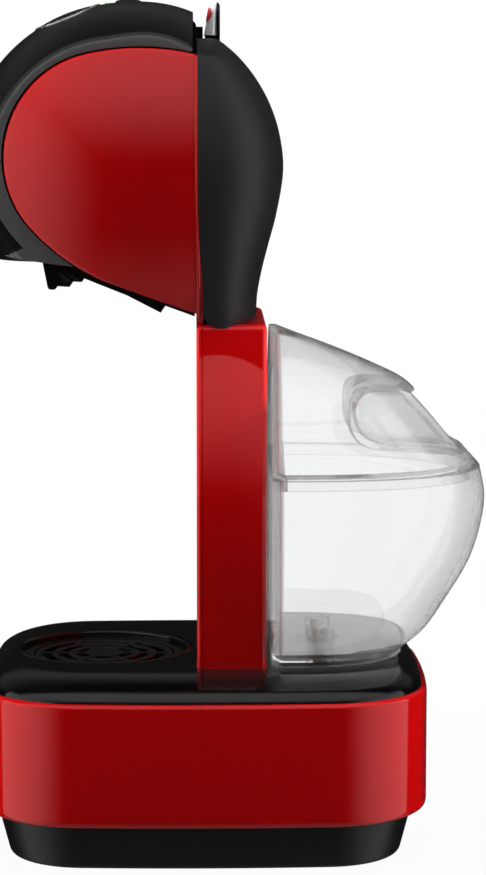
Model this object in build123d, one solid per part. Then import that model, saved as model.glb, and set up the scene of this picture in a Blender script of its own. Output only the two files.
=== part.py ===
from build123d import *
import math
import os

# A pod coffee machine, in millimetres. X runs from front to rear, Y across, Z up.
# Places along X are counted from the middle of the base, and the finished pieces
# are shifted at the end, so that the origin lies under the middle of the whole.

# General
wall = 2.6
slip = 0.3
bore_clearance = 0.05
over = 1.0
screw_radius = 1.9
screw_head_radius = 3.2
screw_head_height = 2.2
screw_room = 0.3

# Base
base_length = 173.4
base_width = 145.0
base_corner = 40.0
side_bow = 4.0
end_bow = 4.0
foot_height = 2.0
foot_radius = 6.5
foot_inset_x = 36.7
foot_inset_y = 28.5
pan_height = 17.0
pan_lip = 4.0
pan_taper = 5.0
pan_round = 4.0
band_height = 47.5
band_round = 1.0
deck_rise = 8.5
deck_lip = 1.5
deck_bevel = 20.0
deck_inset = 0.6
deck_round = 18.0
skirt_depth = 4.0
post_inset_x = 20.7
post_inset_y = 27.5
post_radius = 5.0
boss_depth = 12.0
screw_grip = 6.0

# Drip well
grid_x = -40.0
grid_inset = 4.4
grid_thickness = 2.0
grid_sink = 2.5
grid_rib = 3.2
grid_slot = 3.4
grid_spoke = 3.0
bowl_rim = 32.0
bowl_flange = 1.0
bowl_depth = 36.0
bowl_lip = 2.4
bowl_wall = 3.2

# Cord gland
gland_bore = 3.6
gland_radius = 5.0
gland_flange = 6.4
gland_flange_height = 2.5
gland_z = 11.5

# Pump and hoses
pump_setback = 34.0
pump_y = 24.0
pump_length = 28.0
pump_width = 30.0
pump_height = 32.0
pump_z = 34.0
pump_round = 3.0
pump_tube_radius = 9.0
pump_tube_length = 36.0
outlet_radius = 5.0
outlet_length = 7.0
outlet_collar = 1.5
mount_length = 4.0
hose_radius = 3.0
hose_bore = 1.6
hose_bend = 8.0
riser_x = 8.0

# Tank inlet
inlet_depth = 18.6
inlet_y = -12.0
inlet_radius = 6.0
inlet_flange = 9.0
inlet_rise = 1.2
inlet_drop = 6.0
inlet_shoulder = 1.0
seal_height = 0.6
seal_width = 2.0

# Column
column_front = -3.0
column_rear = 23.6
column_half = 46.0
column_height = 131.4
column_front_round = 3.0
column_rear_round = 9.0
hatch_half = 33.0
hatch_margin = 17.0
hatch_round = 0.8
vent_count = 7
hose_slot_front = 1.0
hose_slot_rear = 16.0
hose_slot_half = 32.0
neck_half = 38.0
column_boss = 5.0
column_boss_height = 14.0

# Control board
board_x = 10.0
board_thickness = 1.6
board_half = 24.0
board_y = -12.0
board_low = 18.0
board_height = 86.0
standoff_radius = 2.6
relay_low = 12.0
relay_height = 20.0
relay_length = 14.0
relay_depth = 6.0
plug_low = 40.0
plug_height = 8.0
plug_length = 28.0
plug_depth = 5.0
can_low = 64.0
can_radius = 4.0
can_y = 12.0
can_depth = 6.0

# Head
head_x = -30.0
head_rise = 58.2
head_radius = 63.0
crown_arc = 93.0
head_reach = 56.0
facet_half = 49.5
facet_toe = 4.5
parting_rise = 3.2
visor_rear = -4.2
part_line = 0.4

# Side panels
panel_x = -18.0
panel_half = 62.0
panel_sphere = 111.0
panel_gap = 0.7
panel_top_rear = (26.4, 42.6)
panel_top = (5.0, 44.8)
panel_top_front = (-15.0, 42.3)
panel_front = (-44.7, 7.4)
panel_low_front = (-37.0, -19.1)
panel_low = (-23.8, -31.7)
panel_low_rear = (-7.2, -41.4)
panel_tip = (26.4, -53.7)
panel_posts = ((-24.0, 6.0), (8.0, 27.0), (14.0, -22.0))
panel_post_radius = 3.0

# Rear shell: how far it passes the column's rear, at heights counted from the head's middle,
# then a round crown and the half widths of its top
shell_radius = 60.5
shell_neck = ((-58.2, -3.4), (-49.0, -3.0), (-39.6, -1.3), (-29.3, 1.3), (-18.0, 4.3), (-1.0, 7.0))
shell_crown = (13.0, 25.0, 35.0)
shell_cap = ((42.6, 48.6), (48.0, 38.0))
shell_fullness = 3.0
section_spans = 8

# Frame inside the head
frame_half = 37.5
frame_wall = 2.5
shelf_rise = -2.0
shelf_thickness = 2.5
frame_foot = -32.0
frame_front = -82.0
cowl_radius = 55.0
cowl_wall = 2.0
bulkhead_drop = 5.5

# Cheeks below the visor, in places counted from the head's middle
cheek_top = -53.5
cheek_curve = (-46.2, -18.3)
cheek_tip = (-37.5, -29.2)
cheek_toe = (-45.2, -32.7)
cheek_heel = (-24.0, -35.5)
cheek_rear = (-14.0, -36.6)
cheek_lug = (-32.5, -29.1)
cheek_lug_radius = 2.6

# Under-cover of the head
floor_half = 42.0
floor_front = (-16.0, -40.5)
floor_mid = (0.8, -47.2)
floor_fin = (13.6, -53.8)
floor_fin_rear = (15.4, -51.2)
floor_tail = (26.4, -55.2)
floor_thickness = 2.4

# Locking handle hinge
hinge_x = -5.5
hinge_depth = 4.5
hinge_eye = 2.6
hinge_pin_radius = 1.25
hinge_ear_inner = 11.0
hinge_ear_outer = 14.0
hinge_lug_inner = 6.0

# Button, status lens and badge
button_x = -29.0
button_radius = 5.0
button_proud = 0.5
button_dome = 1.0
button_rim = 1.2
button_travel = 1.2
button_gap = 0.3
switch_half = 3.0
switch_height = 0.8
led_x = -36.6
led_radius = 1.8
led_depth = 3.0
led_proud = 0.3
button_board_x = 22.0
button_board_y = 28.0
button_board_thickness = 1.2
board_post_y = 11.0
board_post_radius = 1.8
badge_angle = 111.5
badge_half_length = 13.5
badge_half_width = 22.0
badge_ring_width = 1.7
badge_thickness = 0.8

# Hot and cold lever
lever_pivot_rise = 35.4
lever_drum = 16.5
lever_front = 0.4
lever_rear = 6.2
lever_half = 11.0
lever_top = 27.6
lever_lean = 2.2
lever_nose = 0.4
lever_cap_split = 2.4
lever_corner = 4.0
lever_crest = 1.6
lever_heel = 0.4
lever_root = 2.0
lever_pin_radius = 2.0
lever_pin_end = 8.6
lever_pin_head = 4.0
lever_slot_gap = 0.5
mark_radius = 1.3
mark_depth = 0.5
mark_y = 5.0
mark_rise = 21.6
valve_half = 9.0
valve_rear = 8.0
valve_low = 16.0
valve_high = 8.0
valve_spout = 2.5
valve_spout_drop = 8.0

# Brewing unit
pod_x = -54.5
pod_radius = 23.5
pod_wall = 2.4
pod_floor = 2.4
pod_low = -35.6
tray_rise = -24.6
tray_thickness = 4.0
tray_half = 32.0
tray_rear = -22.0
rail_height = 3.0
rail_front = -70.0
spout_front = -62.0
spout_rear = -47.0
spout_half = 11.0
spout_drop = 8.6
spout_round = 1.2
outlet_bore = 5.0
injector_radius = 21.0
injector_thickness = 4.0
injector_rise = -13.6
injector_guide = 2.0
injector_guide_y = 15.0
injector_round = 1.0
needle_radius = 1.2
needle_clearance = 0.6
needle_collar = 4.0
injector_seal_radius = 10.0
thermo_front = -46.0
thermo_rear = -9.0
thermo_half = 30.0
thermo_height = 26.0
thermo_rib = 3.0
thermo_ribs = 5
thermo_round = 4.0
thermostat_radius = 8.0
thermostat_height = 6.0
thermostat_tab = 3.0
thermostat_tab_width = 8.0
thermostat_tab_rise = 4.0

# Tank, as depth and half width at heights above its underside and above its seam
tank_gap = 1.8
tank_lift = 2.0
tank_wall = 2.6
tank_fullness = 2.5
tank_levels = ((0.0, 52.6, 44.0), (8.0, 61.8, 50.0), (20.0, 70.0, 54.2), (34.5, 78.6, 56.8),
               (48.0, 83.0, 57.8), (60.0, 84.6, 58.0), (71.4, 82.6, 58.0))
lid_levels = ((0.0, 82.6, 58.0), (8.6, 75.0, 55.8), (17.6, 67.6, 52.4), (25.6, 60.6, 48.4),
              (33.0, 53.2, 43.6), (38.8, 41.6, 38.0), (45.3, 26.2, 29.4), (51.0, 11.0, 18.4),
              (54.2, 3.2, 8.0))
lid_wall = 2.4
lid_spigot = 4.0
lid_spigot_wall = 1.8
pocket_depth = 31.6
pocket_top = 29.0
pocket_low = 5.2
pocket_nose = 8.5
pocket_slope = 9.0
pocket_half = 23.0
tank_skirt_depth = 31.6
tank_skirt_half = 38.0
valve_hole = 5.0
valve_flange = 8.0
valve_flange_height = 2.0
valve_height = 9.0
stem_radius = 2.2
stem_collar = 3.4
stem_collar_height = 1.6

# Heights and places that follow from the sizes above
pan_z = foot_height
band_z = pan_z + pan_height
rim_z = band_z + band_height
deck_z = rim_z + deck_rise
post_z = rim_z - boss_depth
column_top = deck_z + column_height
head_z = column_top + head_rise
parting_z = head_z + parting_rise
bulkhead_x = column_front + wall
tank_z = deck_z + tank_lift
seam_z = tank_z + tank_levels[-1][0]
tank_front = column_rear + tank_gap
tank_rear = tank_front + max(level[1] for level in tank_levels)
grid_radius = bowl_rim - grid_inset
grid_top = deck_z - grid_sink
grid_z = grid_top - grid_thickness
bowl_z = grid_z - bowl_flange
tray_z = head_z + tray_rise
shelf_z = head_z + shelf_rise
injector_z = head_z + injector_rise
hinge_z = head_z + math.sqrt(head_radius**2 - (hinge_x - head_x) ** 2) - hinge_depth
lever_z = head_z + lever_pivot_rise
inlet_x = tank_front + inlet_depth
pump_x = riser_x + pump_setback
foot_x = base_length / 2 - foot_inset_x
foot_y = base_width / 2 - foot_inset_y
post_x = base_length / 2 - post_inset_x
post_y = base_width / 2 - post_inset_y
origin_shift = -(head_x - head_radius + tank_rear) / 2
far = 400.0


# Helpers
def block(x0, x1, y0, y1, z0, z1):
    return Pos((x0 + x1) / 2, (y0 + y1) / 2, (z0 + z1) / 2) * Box(x1 - x0, y1 - y0, z1 - z0)


def post(x, y, radius, z0, z1):
    return Pos(x, y, (z0 + z1) / 2) * Cylinder(radius, z1 - z0)


def rod_x(y, z, radius, x0, x1):
    return Pos((x0 + x1) / 2, y, z) * Rot(0, 90, 0) * Cylinder(radius, x1 - x0)


def rod_y(x, z, radius, y0, y1):
    return Pos(x, (y0 + y1) / 2, z) * Rot(90, 0, 0) * Cylinder(radius, y1 - y0)


def side_prism(face, y0, y1):
    return extrude(Pos(0, y1, 0) * (Plane.XZ * face), amount=y1 - y0)


def from_head(point):
    return (head_x + point[0], head_z + point[1])


def mirrored(solid):
    return mirror(solid, Plane.XZ)


def corners(x, y):
    return [(sx * x, sy * y) for sx in (-1, 1) for sy in (-1, 1)]


def screw(x, y, z_seat, length):
    head = post(x, y, screw_head_radius, z_seat - screw_head_height, z_seat)
    return head + post(x, y, screw_radius, z_seat, z_seat + length)


# Base
def base_plan(inset):
    half_length = base_length / 2 - inset
    half_width = base_width / 2 - inset
    x = half_length - end_bow
    y = half_width - side_bow
    outline = ThreePointArc((-x, y), (0, half_width), (x, y))
    outline += ThreePointArc((x, y), (half_length, 0), (x, -y))
    outline += ThreePointArc((x, -y), (0, -half_width), (-x, -y))
    outline += ThreePointArc((-x, -y), (-half_length, 0), (-x, y))
    face = make_face(outline)
    return fillet(face.vertices(), base_corner - inset)


def plan_prism(inset, z0, z1):
    return extrude(Pos(0, 0, z0) * base_plan(inset), amount=z1 - z0)


def pan_form(inset, z0, z1):
    low = Pos(0, 0, z0) * base_plan(pan_lip + pan_taper + inset)
    high = Pos(0, 0, z1) * base_plan(pan_lip + inset)
    return loft([low, high], ruled=True)


def base_pan():
    pan = pan_form(0, pan_z, band_z)
    pan = fillet(pan.faces().sort_by(Axis.Z)[0].edges(), pan_round)
    pan -= pan_form(wall, pan_z + wall, band_z + slip)
    head_room = screw_head_radius + screw_room
    for x, y in corners(post_x, post_y):
        pan += post(x, y, post_radius, pan_z + wall / 2, post_z)
        pan -= post(x, y, head_room, pan_z - over, post_z - screw_grip)
        pan -= post(x, y, screw_radius + screw_room, pan_z, post_z + over)
    pan -= rod_x(0, gland_z, gland_radius + bore_clearance, base_length / 4, base_length)
    return pan


def rubber_feet():
    feet = []
    for x, y in corners(foot_x, foot_y):
        foot = post(x, y, foot_radius, 0, foot_height)
        feet.append(fillet(foot.edges().sort_by(Axis.Z)[0], foot_height / 3))
    return feet


def base_screws():
    seat = post_z - screw_grip
    return [screw(x, y, seat, screw_grip + boss_depth / 2) for x, y in corners(post_x, post_y)]


def base_band():
    band = plan_prism(0, band_z, rim_z)
    band = fillet(band.faces().sort_by(Axis.Z)[0].edges(), band_round)
    flange_top = band_z + wall
    band -= plan_prism(wall, flange_top, rim_z + over)
    band -= plan_prism(pan_lip + 2 * wall, band_z - over, rim_z)
    return band


def well_radius():
    return bowl_rim + slip + wall


def drip_well():
    well = post(grid_x, 0, well_radius(), bowl_z - wall, deck_z)
    well -= post(grid_x, 0, bowl_rim + slip, bowl_z, deck_z + over)
    return well - post(grid_x, 0, bowl_rim - bowl_lip + slip, bowl_z - 2 * wall, deck_z)


def base_top():
    deck = plan_prism(deck_inset, rim_z, deck_z)
    rise = deck_rise - deck_lip
    deck = chamfer(deck.faces().sort_by(Axis.Z)[-1].edges(), length=rise, length2=deck_bevel)
    deck = fillet(deck.faces().sort_by(Axis.Z)[-1].edges(), deck_round)
    deck += plan_prism(wall + slip, rim_z - skirt_depth, rim_z)
    deck -= plan_prism(2 * wall + slip, rim_z - skirt_depth - over, rim_z)
    deck -= plan_prism(deck_bevel, rim_z - over, deck_z - wall)
    for x, y in corners(post_x, post_y):
        deck += post(x, y, post_radius, post_z, rim_z + wall)
        deck -= post(x, y, screw_radius, post_z - over, post_z + boss_depth / 2 + over)
    deck -= post(grid_x, 0, well_radius() + bore_clearance, rim_z - over, deck_z + over)
    deck -= block(hose_slot_front, hose_slot_rear, -hose_slot_half, hose_slot_half, rim_z, deck_z + over)
    deck -= post(inlet_x, inlet_y, inlet_radius + bore_clearance, rim_z, deck_z + over)
    for x, y in column_boss_places():
        deck -= post(x, y, screw_radius + screw_room, rim_z, deck_z + over)
    return deck


def drip_bowl():
    radius = bowl_rim - bowl_lip
    bowl = post(grid_x, 0, radius, bowl_z - bowl_depth, bowl_z)
    bowl = fillet(bowl.edges().sort_by(Axis.Z)[0], bowl_wall)
    bowl += post(grid_x, 0, bowl_rim, bowl_z, grid_top)
    bowl -= post(grid_x, 0, radius - bowl_wall, bowl_z - bowl_depth + bowl_wall, grid_top)
    return bowl - post(grid_x, 0, grid_radius + slip, grid_z, grid_top + over)


def drip_grid():
    grid = post(grid_x, 0, grid_radius, grid_z, grid_top)
    outer = grid_radius - grid_rib
    while outer > grid_rib + grid_slot:
        ring = post(grid_x, 0, outer, grid_z - over, grid_top + over)
        ring -= post(grid_x, 0, outer - grid_slot, grid_z - over, grid_top + over)
        for turn in (0, 60, 120):
            spoke = Box(2 * grid_radius, grid_spoke, 4 * grid_thickness)
            ring -= Pos(grid_x, 0, grid_z) * Rot(0, 0, turn) * spoke
        grid -= ring
        outer -= grid_slot + grid_rib
    return grid


def gland_wall_x():
    low_reach = base_length / 2 - pan_lip - pan_taper
    return low_reach + pan_taper * (gland_z - pan_z) / pan_height


def cord_gland():
    outside = gland_wall_x()
    flange_x = outside - 2 * wall
    gland = rod_x(0, gland_z, gland_radius, flange_x, outside)
    gland += rod_x(0, gland_z, gland_flange, flange_x - gland_flange_height, flange_x)
    return gland - rod_x(0, gland_z, gland_bore, flange_x - 2 * gland_flange_height, outside + over)


# Pump and water path
def pump_body():
    half = pump_length / 2
    low = pump_z - pump_height / 2
    body = block(pump_x - half, pump_x + half, pump_y - pump_width / 2, pump_y + pump_width / 2,
                 low, low + pump_height)
    body = fillet(body.edges().filter_by(Axis.X), pump_round)
    tube = pump_tube_length / 2
    body += rod_x(pump_y, pump_z, pump_tube_radius, pump_x - tube, pump_x + tube)
    return body


def pump_end():
    return pump_x - pump_tube_length / 2


def pump_outlet():
    end = pump_end()
    fitting = rod_x(pump_y, pump_z, outlet_radius, end - outlet_length, end)
    fitting += rod_x(pump_y, pump_z, outlet_radius + outlet_collar, end - outlet_length / 2, end)
    return fitting


def pump_mounts():
    mounts = []
    floor = pan_z + wall
    for side in (-1, 1):
        x = pump_x + side * (pump_length + mount_length) / 2
        pad = block(x - mount_length / 2, x + mount_length / 2, pump_y - pump_width / 2,
                    pump_y + pump_width / 2, floor, pump_z)
        pad -= rod_x(pump_y, pump_z, pump_tube_radius, x - mount_length, x + mount_length)
        mounts.append(pad)
    return mounts


def hose(points):
    path = FilletPolyline(*points, radius=hose_bend)
    start = Plane(origin=path @ 0, z_dir=path % 0)
    ring = Circle(hose_radius) - Circle(hose_bore)
    return sweep(start * ring, path=path)


def suction_hose():
    top = deck_z - wall - inlet_drop
    pump_side = pump_y - pump_width / 2
    return hose(((inlet_x, inlet_y, top), (inlet_x, inlet_y, pump_z), (inlet_x, pump_side, pump_z)))


def pressure_hose():
    start = pump_end() - outlet_length
    return hose(((start, pump_y, pump_z), (riser_x, pump_y, pump_z), (riser_x, pump_y, thermo_port_z()),
                 (thermo_rear, pump_y, thermo_port_z())))


def tank_inlet():
    under = deck_z - wall
    socket = post(inlet_x, inlet_y, inlet_radius, under, deck_z + inlet_rise)
    socket += post(inlet_x, inlet_y, inlet_flange, under - wall, under)
    socket += post(inlet_x, inlet_y, inlet_radius - inlet_shoulder, under - inlet_drop, under)
    return socket - post(inlet_x, inlet_y, hose_bore, under - inlet_drop - over, deck_z + inlet_rise + over)


def inlet_seal():
    z = deck_z + inlet_rise
    seal = post(inlet_x, inlet_y, inlet_radius - slip, z, z + seal_height)
    return seal - post(inlet_x, inlet_y, inlet_radius - slip - seal_width, z - over, z + seal_height + over)


# Column
def column_boss_places():
    x = column_rear - wall - column_boss
    return [(x, -column_half + wall + column_boss), (x, column_half - wall - column_boss)]


def column_form(inset, z0, z1):
    half = column_half - inset
    solid = block(column_front + inset, column_rear - inset, -half, half, z0, z1)
    upright = solid.edges().filter_by(Axis.Z).sort_by(Axis.X)
    solid = fillet(upright[2:], column_rear_round - inset)
    upright = solid.edges().filter_by(Axis.Z).sort_by(Axis.X)
    return fillet(upright[:2], max(column_front_round - inset, slip))


def column_shell():
    shell = column_form(0, deck_z, column_top)
    shell -= column_form(wall, deck_z - over, column_top - wall)
    shell -= block(bulkhead_x + wall, column_rear - 3 * wall, -neck_half, neck_half,
                   deck_z, column_top + over)
    shell -= block(column_rear - 2 * wall, column_rear + over, -hatch_half, hatch_half,
                   deck_z + hatch_margin, column_top - hatch_margin)
    for x, y in column_boss_places():
        shell += post(x, y, column_boss, deck_z, deck_z + column_boss_height)
        shell -= post(x, y, screw_radius, deck_z - over, deck_z + column_boss_height - wall)
    for y, z in board_posts():
        shell += rod_x(y, z, standoff_radius, bulkhead_x - wall / 2, board_x)
    return shell


def column_back():
    plate = block(column_rear - wall, column_rear, -hatch_half + slip, hatch_half - slip,
                  deck_z + hatch_margin + slip, column_top - hatch_margin - slip)
    plate = fillet(plate.faces().sort_by(Axis.X)[-1].edges(), hatch_round)
    lip = block(column_rear - 2 * wall, column_rear - wall, -hatch_half - wall, hatch_half + wall,
                deck_z + hatch_margin + slip, column_top - hatch_margin - slip)
    lip -= block(column_rear - 3 * wall, column_rear, -hatch_half + 2 * wall, hatch_half - 2 * wall,
                 deck_z, column_top)
    for z in vent_heights():
        plate -= block(column_rear - 2 * wall, column_rear + over, -hatch_half / 2, hatch_half / 2,
                       z, z + wall)
    return plate + lip


def vent_heights():
    middle = (deck_z + column_top) / 2
    return [middle + 2 * wall * (step - vent_count // 2) for step in range(vent_count)]


def column_screws():
    seat = deck_z - wall
    reach = wall + column_boss_height / 2
    return [screw(x, y, seat, reach) for x, y in column_boss_places()]


def board_posts():
    y0 = board_y - board_half + 2 * standoff_radius
    y1 = board_y + board_half - 2 * standoff_radius
    z0 = deck_z + board_low + 2 * standoff_radius
    z1 = deck_z + board_low + board_height - 2 * standoff_radius
    return [(y, z) for y in (y0, y1) for z in (z0, z1)]


def control_board():
    z0 = deck_z + board_low
    front = board_x + board_thickness
    board = block(board_x, front, board_y - board_half, board_y + board_half, z0, z0 + board_height)
    relay_z = z0 + relay_low
    relay = block(front, front + relay_depth, board_y - relay_length, board_y,
                  relay_z, relay_z + relay_height)
    plug_z = z0 + plug_low
    plug_half = plug_length / 2
    plug = block(front, front + plug_depth, board_y - plug_half, board_y + plug_half,
                 plug_z, plug_z + plug_height)
    can = rod_x(board_y + can_y, z0 + can_low, can_radius, front, front + can_depth)
    return board + relay + plug + can


# Head surfaces
def crown(radius):
    edge = radius - crown_arc + math.sqrt(crown_arc**2 - head_reach**2)
    outline = ThreePointArc((edge, -head_reach), (radius, 0), (edge, head_reach))
    outline += Polyline((edge, head_reach), (0, head_reach), (0, -head_reach), (edge, -head_reach))
    return Pos(head_x, 0, head_z) * revolve(make_face(outline), Axis.Y)


def facet_slab(inset):
    front_half = facet_half - head_radius * math.tan(math.radians(facet_toe)) - inset
    rear_half = facet_half + head_radius * math.tan(math.radians(facet_toe)) - inset
    x0 = head_x - head_radius
    x1 = head_x + head_radius
    face = make_face(Polyline((x0, -front_half), (x1, -rear_half), (x1, rear_half), (x0, front_half),
                              close=True))
    return extrude(Pos(0, 0, head_z - 2 * head_radius) * face, amount=4 * head_radius)


def panel_lens(grow):
    shift = panel_sphere - panel_half
    radius = panel_sphere + grow
    near = Pos(panel_x, shift, head_z) * Sphere(radius)
    return near & (Pos(panel_x, -shift, head_z) * Sphere(radius))


def panel_lens_half(x, z):
    reach = (x - panel_x) ** 2 + (z - head_z) ** 2
    return panel_half - panel_sphere + math.sqrt(panel_sphere**2 - reach)


def panel_outline(grow):
    spots = (panel_top_rear, panel_top, panel_top_front, panel_front, panel_low_front,
             panel_low, panel_low_rear, panel_tip)
    rear, top, top_front, front, low_front, low, low_rear, tip = [from_head(spot) for spot in spots]
    outline = ThreePointArc(rear, top, top_front)
    outline += ThreePointArc(top_front, front, low_front)
    outline += ThreePointArc(low_front, low, low_rear)
    outline += Polyline(low_rear, tip, rear)
    face = make_face(outline)
    return offset(face, amount=grow) if grow else face


def panel_hole():
    return side_prism(panel_outline(panel_gap), -far / 2, far / 2)


def head_skin():
    return crown(head_radius) & facet_slab(0)


def head_core():
    return crown(head_radius - wall) & facet_slab(wall)


# Head pieces
def head_bulkhead():
    shoulder_z = head_z + panel_top_rear[1]
    plate = block(column_front, bulkhead_x, -far / 4, far / 4, column_top, shoulder_z) & panel_lens(slip)
    cap = block(column_front, bulkhead_x, -far / 4, far / 4, shoulder_z, head_z + head_radius)
    plate += cap & crown(head_radius - bulkhead_drop)
    plate -= block(column_front - over, bulkhead_x + over, -hose_slot_half, hose_slot_half,
                   column_top + 3 * wall, lever_z - valve_low - wall)
    for side in (-1, 1):
        y0, y1 = sorted((side * hinge_ear_inner, side * hinge_ear_outer))
        plate += block(hinge_x - hinge_eye, bulkhead_x, y0, y1, hinge_z - 3 * hinge_eye, hinge_z)
        plate += rod_y(hinge_x, hinge_z, hinge_eye, y0, y1)
        plate -= rod_y(hinge_x, hinge_z, hinge_pin_radius, y0 - over, y1 + over)
    plate -= rod_x(0, lever_z, lever_pin_radius, column_front - over, bulkhead_x + over)
    return plate


def side_panel():
    skin = panel_lens(0) - panel_lens(-wall)
    panel = skin & side_prism(panel_outline(0), -far / 2, 0)
    for spot in panel_posts:
        x, z = from_head(spot)
        y = -panel_lens_half(x, z) + wall / 2
        panel += rod_y(x, z, panel_post_radius, y, -frame_half)
    return panel


def shell_reach(rise):
    return head_x + math.sqrt(shell_radius**2 - rise**2)


def shell_sections(inset):
    levels = [(rise, column_rear + past) for rise, past in shell_neck]
    levels += [(rise, shell_reach(rise)) for rise in shell_crown]
    sections = []
    for rise, reach in levels:
        z = head_z + rise
        half = panel_lens_half(bulkhead_x, z) - inset
        sections.append(d_section(bulkhead_x, reach - inset, half, shell_fullness, z))
    for rise, half in shell_cap:
        z = head_z + rise - inset
        sections.append(d_section(bulkhead_x, shell_reach(rise) - inset, half - inset, shell_fullness, z))
    return sections


def d_section(front, rear, half, fullness, z):
    points = []
    for step in range(section_spans + 1):
        turn = 90 - 180 * step / section_spans
        c = max(math.cos(math.radians(turn)), 0.0) ** (2 / fullness)
        s = abs(math.sin(math.radians(turn))) ** (2 / fullness)
        points.append((front + (rear - front) * c, math.copysign(half * s, turn)))
    points[0] = (front, half)
    points[-1] = (front, -half)
    return Pos(0, 0, z) * make_face(Spline(*points) + Line(points[-1], points[0]))


def rear_shell():
    shell = loft(shell_sections(0)) - loft(shell_sections(wall))
    slot_radius = lever_drum + lever_slot_gap
    slot_rear = lever_rear + lever_heel + lever_slot_gap
    slot = rod_x(0, lever_z, slot_radius, bulkhead_x - over, slot_rear)
    slot += block(bulkhead_x - over, slot_rear, -slot_radius, slot_radius,
                  lever_z, lever_z + 2 * lever_drum)
    return shell - slot


def head_frame():
    plates = block(frame_front, column_front, -frame_half, frame_half, head_z + frame_foot, head_z + far)
    inner_half = frame_half - frame_wall
    plates -= block(-far, far, -inner_half, inner_half, head_z - far, head_z + far)
    frame = plates & crown(cowl_radius - cowl_wall)
    inner = frame_half - frame_wall / 2
    shelf_top = shelf_z + shelf_thickness
    shelf = block(pod_x - injector_radius, column_front, -inner, inner, shelf_z, shelf_top)
    frame += shelf
    for side in (-1, 1):
        y0, y1 = sorted((side * (tray_half - wall), side * inner))
        frame += block(rail_front, tray_rear, y0, y1, tray_z - rail_height, tray_z)
        guide_room = injector_guide + bore_clearance
        frame -= post(pod_x, side * injector_guide_y, guide_room, shelf_z - over, shelf_top + over)
    frame -= post(pod_x, 0, needle_collar + slip, shelf_z - over, shelf_top + over)
    return frame


def head_cowl():
    cowl = crown(cowl_radius) - crown(cowl_radius - cowl_wall)
    cowl &= block(-far, column_front, -frame_half, frame_half, parting_z, head_z + far)
    ear_room = hinge_eye + slip
    cowl -= rod_y(hinge_x, hinge_z, ear_room, -hinge_ear_outer - slip, hinge_ear_outer + slip)
    cowl -= block(hinge_x - ear_room, column_front + over, -hinge_ear_outer - slip, hinge_ear_outer + slip,
                  hinge_z - 4 * hinge_eye, hinge_z + hinge_eye)
    return cowl


def cheek_face():
    arc_top = (head_x + cheek_top, parting_z - part_line)
    outline = ThreePointArc(arc_top, from_head(cheek_curve), from_head(cheek_tip))
    outline += Polyline(from_head(cheek_tip), from_head(cheek_toe), from_head(cheek_heel),
                        from_head(cheek_rear), (head_x, arc_top[1]), arc_top)
    return make_face(outline)


def cheek():
    shell = (head_skin() - head_core()) & side_prism(cheek_face(), -far / 2, 0)
    shell -= panel_hole()
    x, z = from_head(cheek_lug)
    lug_y = facet_half + (x - head_x) * math.tan(math.radians(facet_toe)) - wall / 2
    return shell + rod_y(x, z, cheek_lug_radius, -lug_y, -frame_half)


def head_floor():
    spots = (floor_front, floor_mid, floor_fin, floor_fin_rear, floor_tail)
    low = [from_head(spot) for spot in spots]
    tail_top = (low[-1][0], low[-1][1] + floor_thickness)
    rear_top = (low[3][0], low[3][1] + floor_thickness)
    mid_top = (low[1][0], low[1][1] + floor_thickness)
    front_top = (low[0][0], low[0][1] + floor_thickness)
    face = make_face(Polyline(*low, tail_top, rear_top, mid_top, front_top, close=True))
    return side_prism(face, -floor_half, floor_half)


# Locking handle
def locking_handle():
    visor = head_skin() - head_core()
    visor &= block(-far, visor_rear, -far, far, parting_z, head_z + far)
    visor -= panel_hole()
    for side in (-1, 1):
        y0, y1 = sorted((side * (hinge_ear_inner - slip), side * (hinge_ear_outer + slip)))
        visor -= rod_y(hinge_x, hinge_z, hinge_eye + slip, y0, y1)
        l0, l1 = sorted((side * hinge_lug_inner, side * (hinge_ear_inner - slip)))
        lug = rod_y(hinge_x, hinge_z, hinge_eye, l0, l1)
        lug_top = hinge_z + hinge_depth - wall / 2
        lug += block(hinge_x - hinge_eye, hinge_x + hinge_eye / 2, l0, l1, hinge_z, lug_top)
        visor += lug & crown(head_radius - wall / 2)
    visor -= rod_y(hinge_x, hinge_z, hinge_pin_radius + bore_clearance, -hinge_ear_outer, hinge_ear_outer)
    visor -= post(button_x, 0, button_radius + button_gap, head_z, head_z + far)
    visor -= post(led_x, 0, led_radius + bore_clearance, head_z, head_z + far)
    for side in (-1, 1):
        visor += post(button_x, side * board_post_y, board_post_radius, board_z() + button_board_thickness,
                      head_z + head_radius - wall)
    return visor


def handle_pin():
    return rod_y(hinge_x, hinge_z, hinge_pin_radius, -hinge_ear_outer, hinge_ear_outer)


def skin_top(x, radius):
    return head_z + math.sqrt(radius**2 - (x - head_x) ** 2)


def rim_top():
    return skin_top(button_x, head_radius - wall) - 2 * slip


def switch_top():
    return rim_top() - button_rim - button_travel - slip


def board_z():
    return switch_top() - switch_height - button_board_thickness


def power_button():
    edge = skin_top(button_x, head_radius) + button_proud
    cap = post(button_x, 0, button_radius, rim_top() - button_rim, edge)
    dome_radius = (button_radius**2 + button_dome**2) / (2 * button_dome)
    ball = Pos(button_x, 0, edge + button_dome - dome_radius) * Sphere(dome_radius)
    cap += ball & post(button_x, 0, button_radius, edge - button_dome, edge + button_dome)
    return cap + post(button_x, 0, button_radius + 4 * button_gap, rim_top() - button_rim, rim_top())


def status_lens():
    top = skin_top(led_x, head_radius) + led_proud
    return post(led_x, 0, led_radius, top - led_depth, top)


def button_board():
    z = board_z()
    half_x = button_board_x / 2
    half_y = button_board_y / 2
    plate = block(button_x - half_x, button_x + half_x, -half_y, half_y, z, z + button_board_thickness)
    switch = block(button_x - switch_half, button_x + switch_half, -switch_half, switch_half,
                   z + button_board_thickness, switch_top())
    return plate + switch


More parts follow.
